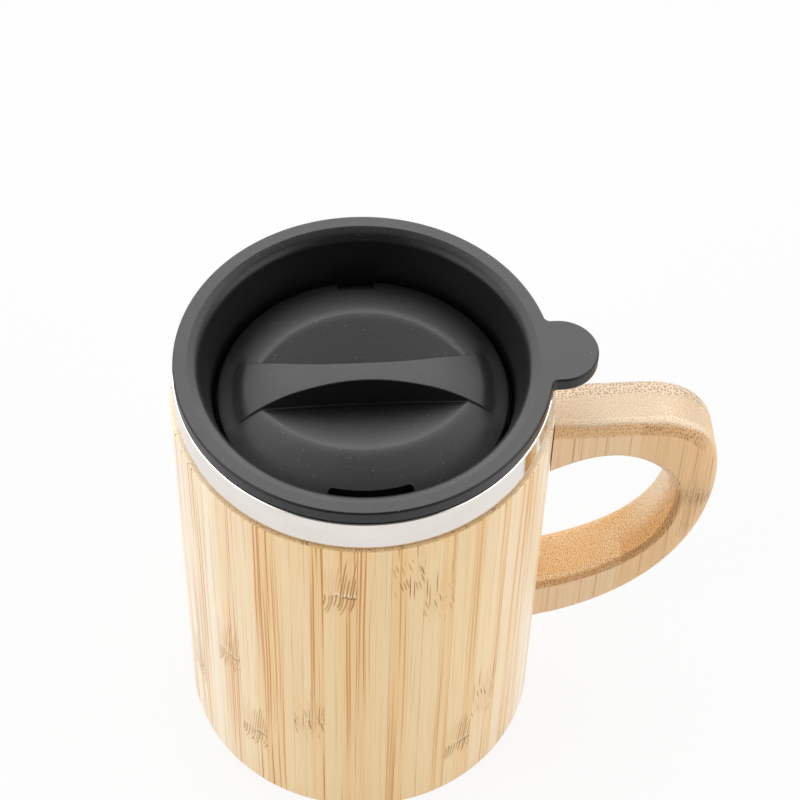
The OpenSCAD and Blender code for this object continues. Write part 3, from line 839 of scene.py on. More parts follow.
def side_line(curves):
    """Points and normals along one side of the D, run out past the sleeve's surface at both ends."""
    stretches = [cubic(control, steps)[:-1] for control, steps in zip(curves, STRETCH_STEPS)]
    line = np.vstack(stretches + [curves[2][3]])
    way = np.gradient(line, axis=0)
    way /= np.linalg.norm(way, axis=1)[:, None]
    line = np.vstack([line[0] - ROOT_OVER * way[0], line, line[-1] + ROOT_OVER * way[-1]])
    way = np.vstack([way[0], way, way[-1]])
    return line, np.column_stack([-way[:, 1], way[:, 0]])


def handle_skin():
    """The whole D: at each station a ring of four round edges, with lines beside them that hold them."""
    half = HANDLE_W / 2
    outer, inner = side_line(OUTER_CURVES), side_line(INNER_CURVES)
    points = []
    for k in range(len(outer[0])):
        for (line, normal), inward, r, side, rising in (
            (outer, 1, OUTER_EDGE_R, -1, True), (outer, 1, OUTER_EDGE_R, 1, False),
            (inner, -1, INNER_EDGE_R, 1, True), (inner, -1, INNER_EDGE_R, -1, False),
        ):
            turns = [math.radians(90) * i / EDGE_STEPS for i in range(EDGE_STEPS + 1)]
            places = [(r + SUPPORT, 0)]
            places += [(r * (1 - math.sin(a)), r * (1 - math.cos(a))) for a in turns]
            places += [(0, r + SUPPORT)]
            for deep, across in places if rising else reversed(places):
                x, z = line[k] + inward * deep * normal[k]
                points.append((BODY_R + x, side * (half - across), HANDLE_TOP - z))
    return new_object("handle", points, tube_faces(len(outer[0]), 4 * (EDGE_STEPS + 3)))


def make_handle():
    """The D cut to its seats on the sleeve, drilled for the screws, and parted at the seams of its glued strips."""
    handle = handle_skin()
    foot = HANDLE_TOP - HANDLE_H - ROOT_OVER
    boolean(handle, round_cutter(0, 0, foot, HANDLE_TOP - UPPER_ROOT_H, BODY_R, SEAT_STEPS))
    seat = round_cutter(0, 0, -2 * UPPER_ROOT_H, ROOT_OVER, BODY_R, SEAT_STEPS)
    seat.data.transform(Matrix.Rotation(math.radians(-SEAT_LEAN), 4, "Y"))
    seat.data.transform(Matrix.Translation((0, 0, HANDLE_TOP * MM)))
    boolean(handle, seat)
    for height in SCREW_HEIGHTS:
        boolean(handle, screw_cutter(height))
    seam_x, far_x = BODY_R + HANDLE_SEAM, BODY_R + HANDLE_REACH + ROOT_OVER
    split_z, wide = HANDLE_TOP - (UPPER_ROOT_H + HOLE_FLOOR) / 2, HANDLE_W
    pieces = []
    for name, low, high in (
        ("upper_arm", (0, -wide, split_z), (seam_x, wide, RIM_Z)),
        ("lower_arm", (0, -wide, 0), (seam_x, wide, split_z)),
        ("grip", (seam_x, -wide, 0), (far_x, wide, RIM_Z)),
    ):
        piece = add_object(name, handle.data.copy())
        boolean(piece, block(low, high), "INTERSECT")
        smooth(piece)
        pieces.append(piece)
    bpy.data.objects.remove(handle)
    return pieces


# Node graphs: sums of sockets are written as plain maths

class Value:
    """A socket of a graph that sums, products and quotients can be written with."""

    def __init__(self, graph, socket):
        self.graph = graph
        self.socket = socket

    def __add__(self, other):
        return self.graph.math("ADD", self, other)

    def __radd__(self, other):
        return self.graph.math("ADD", other, self)

    def __sub__(self, other):
        return self.graph.math("SUBTRACT", self, other)

    def __rsub__(self, other):
        return self.graph.math("SUBTRACT", other, self)

    def __mul__(self, other):
        return self.graph.math("MULTIPLY", self, other)

    def __rmul__(self, other):
        return self.graph.math("MULTIPLY", other, self)

    def __truediv__(self, other):
        return self.graph.math("DIVIDE", self, other)

    def __rtruediv__(self, other):
        return self.graph.math("DIVIDE", other, self)

    def __abs__(self):
        return self.graph.math("ABSOLUTE", self)

    def __round__(self):
        return self.graph.math("ROUND", self)

    def beside(self, name):
        """Another output of the same node."""
        return Value(self.graph, self.socket.node.outputs[name])


class Graph:
    """Adds nodes to a shader's, the world's or a geometry's tree."""

    def __init__(self, tree):
        self.tree = tree

    def node(self, kind, settings=None, sockets=None, output=0):
        """A node of a kind, its settings first, then values or links by socket. Gives one output."""
        made = self.tree.nodes.new(kind)
        for name, value in (settings or {}).items():
            setattr(made, name, value)
        for name, value in (sockets or {}).items():
            if isinstance(value, Value):
                self.tree.links.new(value.socket, made.inputs[name])
            else:
                made.inputs[name].default_value = value
        return None if output is None else Value(self, made.outputs[output])

    def math(self, operation, *values):
        """A number worked out from numbers."""
        return self.node("ShaderNodeMath", {"operation": operation}, dict(enumerate(values)))

    def length(self, x, y):
        """Length of the way that goes x one way and y square to it."""
        return self.math("SQRT", x * x + y * y)

    def parts(self, vector):
        """The three numbers of a vector."""
        return [self.node("ShaderNodeSeparateXYZ", None, {0: vector}, k) for k in range(3)]

    def clamp(self, value):
        """The value kept between 0 and 1."""
        return self.node("ShaderNodeClamp", None, {0: value, 1: 0.0, 2: 1.0})

    def join(self, x, y, z):
        """A vector of three numbers."""
        return self.node("ShaderNodeCombineXYZ", None, {0: x, 1: y, 2: z})

    def step(self, value, low, high):
        """0 at low, 1 at high, and smooth between. Low may be above high."""
        sockets = {0: value, 1: low, 2: high, 3: 0.0, 4: 1.0}
        return self.node("ShaderNodeMapRange", {"interpolation_type": "SMOOTHSTEP"}, sockets)

    def band(self, value, low, high, soft):
        """1 between low and high, with soft ends outside them."""
        return self.step(value, low - soft, low) * self.step(value, high + soft, high)

    def noise(self, vector, scale, detail=2.0, rough=0.5):
        """Soft noise about 0.5."""
        sockets = {"Vector": vector, "Scale": scale, "Detail": detail, "Roughness": rough}
        return self.node("ShaderNodeTexNoise", None, sockets)

    def grain(self, x, y, z, detail=2.0, rough=0.5):
        """Soft noise about 0.5 at a place given by three numbers, with about one swing a unit."""
        return self.noise(self.join(x, y, z), 1.0, detail, rough)

    def cells(self, vector, dimensions="3D", randomness=1.0):
        """Distance to the nearest of scattered points, one a unit, and that point's random numbers."""
        settings = {"voronoi_dimensions": dimensions, "feature": "F1"}
        sockets = {"Vector": vector, "Scale": 1.0, "Randomness": randomness}
        near = self.node("ShaderNodeTexVoronoi", settings, sockets, "Distance")
        return near, self.parts(near.beside("Color"))

    def chance(self, value):
        """Three random numbers for each whole number."""
        noise = self.node("ShaderNodeTexWhiteNoise", {"noise_dimensions": "1D"}, {"W": value}, "Color")
        return self.parts(noise)

    def mix(self, first, second, factor):
        """A colour between two colours."""
        sockets = {0: factor, 6: first, 7: second}
        return self.node("ShaderNodeMix", {"data_type": "RGBA"}, sockets, 2)

    def mix_value(self, first, second, factor):
        """A number between two numbers."""
        return self.node("ShaderNodeMix", {"data_type": "FLOAT"}, {0: factor, 2: first, 3: second})

    def scaled(self, vector, factor):
        """A colour or vector times a number."""
        return self.node("ShaderNodeVectorMath", {"operation": "SCALE"}, {"Vector": vector, "Scale": factor})

    def place(self):
        """The place on the piece in millimetres: as a vector, and its three numbers."""
        spot = self.scaled(self.node("ShaderNodeTexCoord", None, None, "Object"), 1 / MM)
        return spot, *self.parts(spot)

    def normal(self):
        """The three numbers of the way that the surface faces."""
        return self.parts(self.node("ShaderNodeTexCoord", None, None, "Normal"))

    def ray(self, kind):
        """1 on rays of a kind, such as Camera or Glossy, and 0 on all others."""
        return self.node("ShaderNodeLightPath", None, None, f"Is {kind} Ray")


def paint(red, green, blue):
    """A colour from screen values of 0 to 255."""
    def linear(value):
        value /= 255
        return value / 12.92 if value <= 0.04045 else ((value + 0.055) / 1.055) ** 2.4
    return (linear(red), linear(green), linear(blue), 1.0)


# Sleeve: staves glued side by side, each a slice of a tube with rounded ends
STAVES = 36
STAVE_COLUMNS = 12
ROUND_ROWS = 4
MIDDLE_ROWS = 8
STAVE_ROWS = 2 * (ROUND_ROWS + 1) + MIDDLE_ROWS
END_R = 0.4
SEAM_GROOVE = 0.06
LEDGE_W = 1.2
STAVE_W = 2 * math.pi * BODY_R / STAVES
STAVE_INPUTS = {
    "Bore radius": ("NodeSocketFloat", BORE_R * MM),
    "Outer radius": ("NodeSocketFloat", BODY_R * MM),
    "Foot height": ("NodeSocketFloat", FOOT_Z * MM),
    "Top height": ("NodeSocketFloat", SLEEVE_TOP * MM),
    "End rounding": ("NodeSocketFloat", END_R * MM),
    "Seam groove": ("NodeSocketFloat", SEAM_GROOVE * MM),
    "Staves": ("NodeSocketInt", STAVES),
    "Screw radius": ("NodeSocketFloat", (SCREW_D / 2 + SCREW_GAP) * MM),
    "Screw head radius": ("NodeSocketFloat", (SCREW_HEAD_D / 2 + SCREW_GAP) * MM),
    "Lower screw height": ("NodeSocketFloat", SCREW_HEIGHTS[0] * MM),
    "Upper screw height": ("NodeSocketFloat", SCREW_HEIGHTS[1] * MM),
    "Wood": ("NodeSocketMaterial", None),
}


def stave_form(graph, size):
    """A box of small cells bent to one stave: its three ways run out, across and along."""
    box = graph.node("GeometryNodeMeshCube", None, {
        "Size": (1, 1, 1), "Vertices X": 3, "Vertices Y": STAVE_COLUMNS + 1, "Vertices Z": STAVE_ROWS + 1,
    })
    out, across, along = graph.parts(graph.node("GeometryNodeInputPosition"))
    out, column, row = out + 0.5, (across + 0.5) * STAVE_COLUMNS, (along + 0.5) * STAVE_ROWS
    quarter = math.pi / 2
    low_turn = graph.clamp(row / ROUND_ROWS) * quarter
    high_turn = graph.clamp((STAVE_ROWS - row) / ROUND_ROWS) * quarter
    bend = size["End rounding"]
    groove = size["Seam groove"]
    support = SUPPORT * MM
    middle = size["Top height"] - size["Foot height"] - 2 * bend - 2 * support
    height = size["Foot height"] + bend * (1 - graph.math("COSINE", low_turn))
    height = height + support * graph.clamp(row - ROUND_ROWS)
    height = height + middle * graph.clamp((row - ROUND_ROWS - 1) / MIDDLE_ROWS)
    height = height + support * graph.clamp(row - ROUND_ROWS - 1 - MIDDLE_ROWS)
    height = height + bend * graph.math("COSINE", high_turn)
    first, last = graph.clamp(column), graph.clamp(column - (STAVE_COLUMNS - 1))
    slice_angle = 2 * math.pi / size["Staves"]
    width = size["Outer radius"] * slice_angle
    side = groove * (first + last) + (width - 2 * groove) * graph.clamp((column - 1) / (STAVE_COLUMNS - 2))
    angle = (side / width - 0.5) * slice_angle
    tuck = bend * (2 - graph.math("SINE", low_turn) - graph.math("SINE", high_turn))
    tuck = tuck + groove * (1 - first + last)
    ledge = LEDGE_W * MM
    deep = size["Outer radius"] - tuck - ledge - size["Bore radius"]
    radius = size["Bore radius"] + deep * graph.clamp(out * 2) + ledge * graph.clamp(out * 2 - 1)
    spot = graph.join(radius * graph.math("COSINE", angle), radius * graph.math("SINE", angle), height)
    return graph.node("GeometryNodeSetPosition", None, {"Geometry": box, "Position": spot})


def drilled(graph, size, stave):
    """The stave under the handle, drilled for two screws, with a recess for each head."""
    depth = 4 * SLEEVE_WALL * MM
    head_depth = 2 * (SCREW_RIM + (SCREW_HEAD_D - SCREW_D) / 2) * MM
    for height in ("Lower screw height", "Upper screw height"):
        for radius, long in (("Screw radius", depth), ("Screw head radius", head_depth)):
            rod = graph.node("GeometryNodeMeshCylinder", None, {
                "Vertices": SCREW_STEPS, "Radius": size[radius], "Depth": long,
            })
            rod = graph.node("GeometryNodeTransform", None, {
                "Geometry": rod, "Rotation": (0, math.pi / 2, 0),
                "Translation": graph.join(size["Bore radius"], 0.0, size[height]),
            })
            settings = {"operation": "DIFFERENCE", "solver": "EXACT"}
            stave = graph.node("GeometryNodeMeshBoolean", settings, {"Mesh 1": stave, "Mesh 2": rod})
    return stave


def stave_tree():
    """The tree that makes the sleeve: the drilled stave and its plain copies round the axis."""
    tree = bpy.data.node_groups.new("staves", "GeometryNodeTree")
    for name, (kind, _) in STAVE_INPUTS.items():
        tree.interface.new_socket(name, in_out="INPUT", socket_type=kind)
    tree.interface.new_socket("Sleeve", in_out="OUTPUT", socket_type="NodeSocketGeometry")
    graph = Graph(tree)
    size = {name: graph.node("NodeGroupInput", None, None, name) for name in STAVE_INPUTS}
    stave = stave_form(graph, size)
    single = graph.node("GeometryNodeGeometryToInstance", None, {"Geometry": stave})
    copies = {"Geometry": single, "Amount": size["Staves"] - 1}
    more = graph.node("GeometryNodeDuplicateElements", {"domain": "INSTANCE"}, copies)
    number = more.beside("Duplicate Index")
    turn = graph.join(0.0, 0.0, (number + 1) * (2 * math.pi / size["Staves"]))
    ring = graph.node("GeometryNodeRotateInstances", None, {"Instances": more, "Rotation": turn})
    whole = graph.node("GeometryNodeJoinGeometry", None, {"Geometry": ring})
    tree.links.new(drilled(graph, size, stave).socket, whole.socket.node.inputs["Geometry"])
    plain = graph.node("GeometryNodeRealizeInstances", None, {"Geometry": whole})
    dressed = graph.node("GeometryNodeSetMaterial", None, {"Geometry": plain, "Material": size["Wood"]})
    graph.node("NodeGroupOutput", None, {"Sleeve": dressed}, None)
    return tree


def make_sleeve(wood):
    """The sleeve as a plain mesh, in its wood."""
    tree = stave_tree()
    sleeve = add_object("sleeve", bpy.data.meshes.new("sleeve"))
    modifier = sleeve.modifiers.new("staves", "NODES")
    modifier.node_group = tree
    for item in tree.interface.items_tree:
        if item.in_out == "INPUT":
            value = STAVE_INPUTS[item.name][1]
            modifier[item.identifier] = wood if item.name == "Wood" else value
    settle(sleeve, modifier)
    smooth(sleeve)
    return sleeve


# Materials

def empty_graph(owner):
    """The graph of a material or of the world, without nodes."""
    owner.use_nodes = True
    owner.node_tree.nodes.clear()
    return Graph(owner.node_tree)


def by_socket(values):
    """Values by socket name, from names with underscores for spaces."""
    return {name.replace("_", " "): value for name, value in values.items()}


def finish(name, **constants):
    """A material with one shader and its constants: the material, its graph and the shader's node."""
    material = bpy.data.materials.new(name)
    graph = empty_graph(material)
    surface = graph.node("ShaderNodeBsdfPrincipled", None, by_socket(constants))
    graph.node("ShaderNodeOutputMaterial", None, {"Surface": surface}, None)
    return material, graph, surface.socket.node


def feed(graph, shader, **values):
    """Links values to the shader's sockets."""
    for name, value in by_socket(values).items():
        graph.tree.links.new(value.socket, shader.inputs[name])


def bump(graph, height, strength, distance):
    """A bumped normal from a height of 0 to 1 that stands for a distance in millimetres."""
    sockets = {"Height": height, "Strength": strength, "Distance": distance * MM}
    return graph.node("ShaderNodeBump", None, sockets)


def spindles(graph, across, along, spacing, wide, long, seed, share):
    """Long thin marks with pointed ends: a mask, a wider mask round it and a random number.

    Spacing, half width and half length are in millimetres. Share says how many places hold a mark.
    """
    half = wide / spacing
    spot = graph.join(across / spacing + seed, along * (half / long) + seed, 0.0)
    near, luck = graph.cells(spot, "2D")
    there = graph.step(luck[0], 1 - share, 1.02 - share)
    return graph.step(near, half, 0.5 * half) * there, graph.step(near, 3 * half, half) * there, luck[1]


def strokes(graph, across, above, spacing, wide, long, seed):
    """Fine dark strokes side by side that run up from a node's line, each of its own length."""
    place = across / spacing + seed
    number = round(place)
    reach, shift, dark = graph.chance(number + 0.5)
    off = abs(place - number + (shift - 0.5) * 0.35) * spacing
    rise = above / (long * (0.45 + 0.55 * reach))
    body = graph.step(rise, 1.0, 0.7) * graph.step(rise, 0.0, 0.08)
    return graph.step(off, wide * (1.2 - 0.4 * rise), wide * 0.4) * body * (0.5 + 0.5 * dark)


# A node's height and how far its marks are scattered, by stave, counted from the handle
NO_KNOT = (190.0, 0.0)
KNOTS = {
    20: (28.0, 0.5), 21: NO_KNOT, 22: (52.0, 0.4), 23: (24.0, 0.3), 24: NO_KNOT, 25: (40.0, 0.8),
    26: (98.2, 0.0), 27: NO_KNOT, 28: (106.0, 1.0), 29: (92.5, 0.9), 30: (20.0, 0.0), 31: (36.0, 0.9),
    32: NO_KNOT,
}
# The nodes of all other staves lie anywhere in this range above the foot, so half of them show
KNOT_RANGE = 260.0
# Marks along the fibres: spacing, half width and half length in millimetres, seed, and share of places
BOLD_FIBRES = (0.9, 0.28, 46.0, 0.0, 0.9)
THIN_FIBRES = (0.6, 0.14, 28.0, 40.0, 0.6)
FAINT_FIBRES = (0.42, 0.09, 15.0, 90.0, 0.6)
KNOT_TICKS = (0.9, 0.24, 2.6, 20.0, 0.75)
KNOT_STREAKS = (0.85, 0.2, 6.0, 60.0, 0.6)
BOARD_BOLD = (1.35, 0.2, 34.0, 3.0, 0.95)
BOARD_THIN = (0.7, 0.12, 20.0, 50.0, 0.8)
SCRATCHES = (1.3, 0.06, 7.0, 5.0, 0.5)
SCRATCH_R = 30.0
# Strokes of a neat node above and below its line: spacing, half width and length
HIGH_STROKES = (0.72, 0.23, 18.0)
LOW_STROKES = (0.85, 0.3, 9.0)
WOOD_PALE = paint(245, 232, 208)
WOOD_GOLD = paint(236, 206, 156)
WOOD_YELLOW = paint(230, 184, 118)
WOOD_BROWN = paint(194, 126, 42)
WOOD_MARK = paint(158, 104, 30)
WOOD_SEAM = paint(194, 130, 54)
WOOD_END = paint(212, 168, 120)
WOOD_DARK = paint(64, 40, 24)
# The staves round the front are golden and the rest paler: in part each stave's own tone, in part painted sheen, the
# side staves washed out as by a bright grazing reflection
GOLDEN_STAVES = (25.0, 29.5)
QUIET_STAVES = (28.6, 34.0)


def knot_marks(graph, base, stave, chance, tone, across, line, z):
    """The staves' nodes, neat or scattered, over the wood's colour: the new colour and the marks' mask."""
    knot, scatter = FOOT_Z + chance * KNOT_RANGE, tone
    for number, (height, spread) in KNOTS.items():
        here = graph.math("COMPARE", stave, float(number), 0.4)
        knot = knot + here * (height - knot)
        scatter = scatter + here * (spread - scatter)
    wave = graph.grain(line * 0.5, stave, 0.0, 1.0) - 0.5
    above = z - knot - wave * 3.0
    seed = stave * 23.0
    crowd = graph.step(across, -1.2, 0.4)
    high = strokes(graph, across - above * 0.1, above, *HIGH_STROKES, seed) * (0.2 + crowd * 0.8)
    low = strokes(graph, across + above * above * 0.035, 0.8 - above, *LOW_STROKES, seed + 11)
    ticks, _, tick_luck = spindles(graph, across + above * 0.2 + seed, z, *KNOT_TICKS)
    streaks, _, streak_luck = spindles(graph, line, z, *KNOT_STREAKS)
    scattered = ticks * (0.4 + tick_luck * 0.6) * graph.band(above, -6.0, 4.0, 2.5)
    scattered = scattered + streaks * (0.3 + streak_luck * 0.7) * graph.band(above, -8.0, 12.0, 4.0)
    ridge = graph.band(above, -0.15, 0.15, 0.3) * graph.step(across + wave * 6.0, -0.5, 1.5)
    neat = (high + low + ridge * 0.8) * (1 - scatter)
    marks = graph.clamp(neat + scattered * scatter)
    base = graph.mix(base, WOOD_YELLOW, graph.band(above, -5.0, 8.0, 4.0) * 0.2)
    # Painted highlight: a pale band just above the node's ridge line, on the stave's right half, over the wood's
    # colour
    pale = graph.band(above, 0.7, 1.5, 0.5) * (1 - scatter) * graph.step(across + wave * 6.0, -1.5, 0.5)
    base = graph.mix(base, WOOD_PALE, pale * 0.45)
    return graph.mix(base, WOOD_MARK, marks), marks


def cut_end(graph, base, plain, golden, spot, x, y, z, line):
    """The sleeve's sawn ends over the wood's colour: brown wood with dark pores."""
    middle, half = (FOOT_Z + SLEEVE_TOP) / 2, (SLEEVE_TOP - FOOT_Z) / 2
    radius = graph.length(x, y)
    end = graph.step(abs(z - middle), half - 0.2, half - 0.1)
    end = end * graph.step(radius, BODY_R - 0.22, BODY_R - 0.4)
    near, pore = graph.cells(graph.scaled(spot, 2.2), "2D")
    burnt = graph.step(graph.grain(line * 0.3, 7.0, 0.0, 1.0), 0.45, 0.62)
    pores = graph.step(near, 0.42, 0.22) * graph.clamp(pore[0] * (0.4 + burnt))
    # The sawn ends' pores show most on the golden front staves and fade on the paler sides: painted sheen over the end
    # grain
    cut = graph.mix(plain, WOOD_END, 0.2 + golden * 0.4)
    cut = graph.mix(cut, WOOD_DARK, pores * (0.4 + golden * 0.6))
    return graph.mix(base, cut, end)


def sleeve_wood():
    """Bamboo split along its fibres: pale strips with groups of brown fibre lines and a few node marks."""
    material, graph, shader = finish(
        "bamboo strips", Roughness=0.5, Specular_IOR_Level=0.4, Coat_Weight=0.3, Coat_Roughness=0.3)
    spot, x, y, z = graph.place()
    turn = graph.math("ARCTAN2", y, x) * (STAVES / (2 * math.pi))
    nearest = round(turn)
    stave = graph.math("FLOORED_MODULO", nearest, float(STAVES))
    across = (turn - nearest) * STAVE_W
    tone, rich, chance = graph.chance(stave + 0.5)
    line = across + stave * 31.7
    sway = graph.grain(line * 0.05, z * 0.012, 0.0, 1.0) - 0.5
    line = line + sway * 1.6

    broad = graph.grain(line * 0.35, z * 0.006, 0.0)
    bands = graph.grain(line * 1.3, z * 0.012, 4.0, 2.0, 0.6)
    fibres = graph.grain(line * 4.5, z * 0.05, 0.0, 3.0, 0.6)
    threads = graph.grain(line * 14.0, z * 0.16, 3.0, 2.0, 0.6)
    skin_side = graph.math("SIGN", rich - 0.5)
    dense = graph.step(across * skin_side + (broad - 0.5) * 10.0, -1.6, 1.4)

    golden = graph.band(stave, *GOLDEN_STAVES, 5.0)
    warm = graph.clamp(0.08 + golden * 0.92 + (tone - 0.5) * 0.25 + (broad - 0.5) * 0.4)
    base = graph.mix(WOOD_PALE, WOOD_GOLD, warm)
    yellow = dense * 0.22 + graph.step(bands, 0.52, 0.78) * 0.4
    base = graph.mix(base, WOOD_YELLOW, graph.clamp(yellow * (0.3 + golden * 0.7)))
    base = graph.scaled(base, 1 + (bands - 0.5) * 0.1 + (0.5 - fibres) * 0.06)
    base = graph.mix(base, WOOD_YELLOW, graph.clamp((fibres - 0.5) * 1.1 + (threads - 0.5) * 0.6))
    plain = base

    bold, flank, luck = spindles(graph, line, z, *BOLD_FIBRES)
    thin, _, thin_luck = spindles(graph, line, z, *THIN_FIBRES)
    faint, _, faint_luck = spindles(graph, line, z, *FAINT_FIBRES)
    loud = 1 - graph.band(stave, *QUIET_STAVES, 1.5) * 0.4
    bold_share = bold * (0.03 + dense * 0.97) * (0.62 + luck * 0.38) * loud
    base = graph.mix(base, WOOD_YELLOW, flank * dense * (0.25 + golden * 0.25))
    base = graph.mix(base, WOOD_BROWN, graph.clamp(bold_share))
    base = graph.mix(base, WOOD_BROWN, thin * thin_luck * (0.4 + dense * 0.6) * loud)
    base = graph.mix(base, WOOD_BROWN, faint * faint_luck * 0.45)

    base, marks = knot_marks(graph, base, stave, chance, tone, across, line, z)
    beside = STAVE_W / 2 - abs(across)
    seam_luck = graph.grain(round(turn + 0.5) * 5.3, z * 0.03, 0.0, 1.0)
    seam = graph.step(beside, 0.14, 0.04) * graph.step(seam_luck, 0.42, 0.66)
    base = graph.mix(base, WOOD_SEAM, seam * 0.45)
    base = cut_end(graph, base, plain, golden, spot, x, y, z, line)
    dark = graph.clamp(bold_share * 0.3 + marks * 0.35 + seam * 0.3)
    feed(graph, shader, Base_Color=base, Roughness=0.46 + (fibres - 0.5) * 0.14 + dark * 0.08,
         Normal=bump(graph, fibres * 0.15 + threads * 0.08 - dark, strength=0.4, distance=0.05))
    return material


ARM_SIDE = paint(233, 201, 160)
GRIP_SIDE = paint(228, 188, 138)
BOARD_TAN = paint(218, 176, 126)
BOARD_TOP_SHEEN = paint(222, 197, 164)
ARM_EDGE_SHADE = paint(221, 182, 136)
GRIP_EDGE_SHADE = paint(208, 166, 116)
BOARD_BOUNCE_ORANGE = paint(244, 204, 148)
INNER_EDGE_SHADE = paint(208, 168, 120)
GRIP_INNER_EDGE_SHADE = paint(192, 148, 96)
BOARD_HIGHLIGHT = paint(253, 236, 206)
BOARD_DEEP = paint(222, 166, 100)
BOARD_DOT = paint(112, 68, 34)
BOARD_DOT_WARM = paint(166, 98, 40)
BOARD_LINE = paint(172, 112, 36)
BOARD_SMUDGE = paint(112, 78, 52)
INNER_HEIGHTS = (90.0, 76.0)
SMUDGE_AT = (81.3, 80.2)
SMUDGE_SIZE = (5.2, 3.4)
SEAT_SHADOW_W = 0.4
SEAT_SHADOW_TOP = 0.2


def board_dots(graph, column, row, far, near_edge_shade, grip, inner):
    """The fibres' cut ends: large dots on the far side of the top, small ones elsewhere."""
    big_near, big_luck = graph.cells(graph.scaled(graph.join(column, row, 0.0), 1.22), "2D", 0.65)
    small_near, small_luck = graph.cells(graph.scaled(graph.join(column, row, 5.0), 1.95), "2D", 0.7)
    big_size = 0.32 + big_luck[0] * 0.09
    small_size = 0.32 + small_luck[0] * 0.12
    big = graph.step(big_near, big_size, big_size * 0.6) * (0.55 + big_luck[1] * 0.45)
    small = graph.step(small_near, small_size, small_size * 0.5) * (0.4 + small_luck[1] * 0.6)
    share = 0.62 + near_edge_shade * (0.1 + grip * 0.25) + inner * 0.25
    return graph.mix_value(small * graph.clamp(share), big * 0.95, far)


def grip_smudge(graph, base, x, y, z, upright):
    """The grey smudge of a node on the grip's side, over the board's colour, with a tan cloud round it."""
    reach = graph.length((x - SMUDGE_AT[0]) / SMUDGE_SIZE[0], (z - SMUDGE_AT[1]) / SMUDGE_SIZE[1])
    cloud = graph.grain(x * 1.5, y * 1.5, z * 0.6, 3.0, 0.65)
    wisp = graph.grain(x * 3.4, y * 3.4, z * 0.06, 2.0, 0.6)
    run = graph.band(x, SMUDGE_AT[0] - 3.5, SMUDGE_AT[0] + 4.0, 2.0)
    run = run * graph.band(z, SMUDGE_AT[1] - 12, SMUDGE_AT[1] + 2, 7.0) * graph.step(wisp, 0.48, 0.62)
    smudge = graph.step(cloud, 0.4, 0.66) * 0.55 + graph.step(wisp, 0.42, 0.6) * 0.3
    smudge = graph.clamp(graph.step(reach, 1.4, 0.2) * smudge + run * 0.4) * upright
    base = graph.mix(base, BOARD_TAN, graph.step(reach, 3.4, 1.2) * upright * 0.5)
    return graph.mix(base, BOARD_SMUDGE, smudge * 0.7)


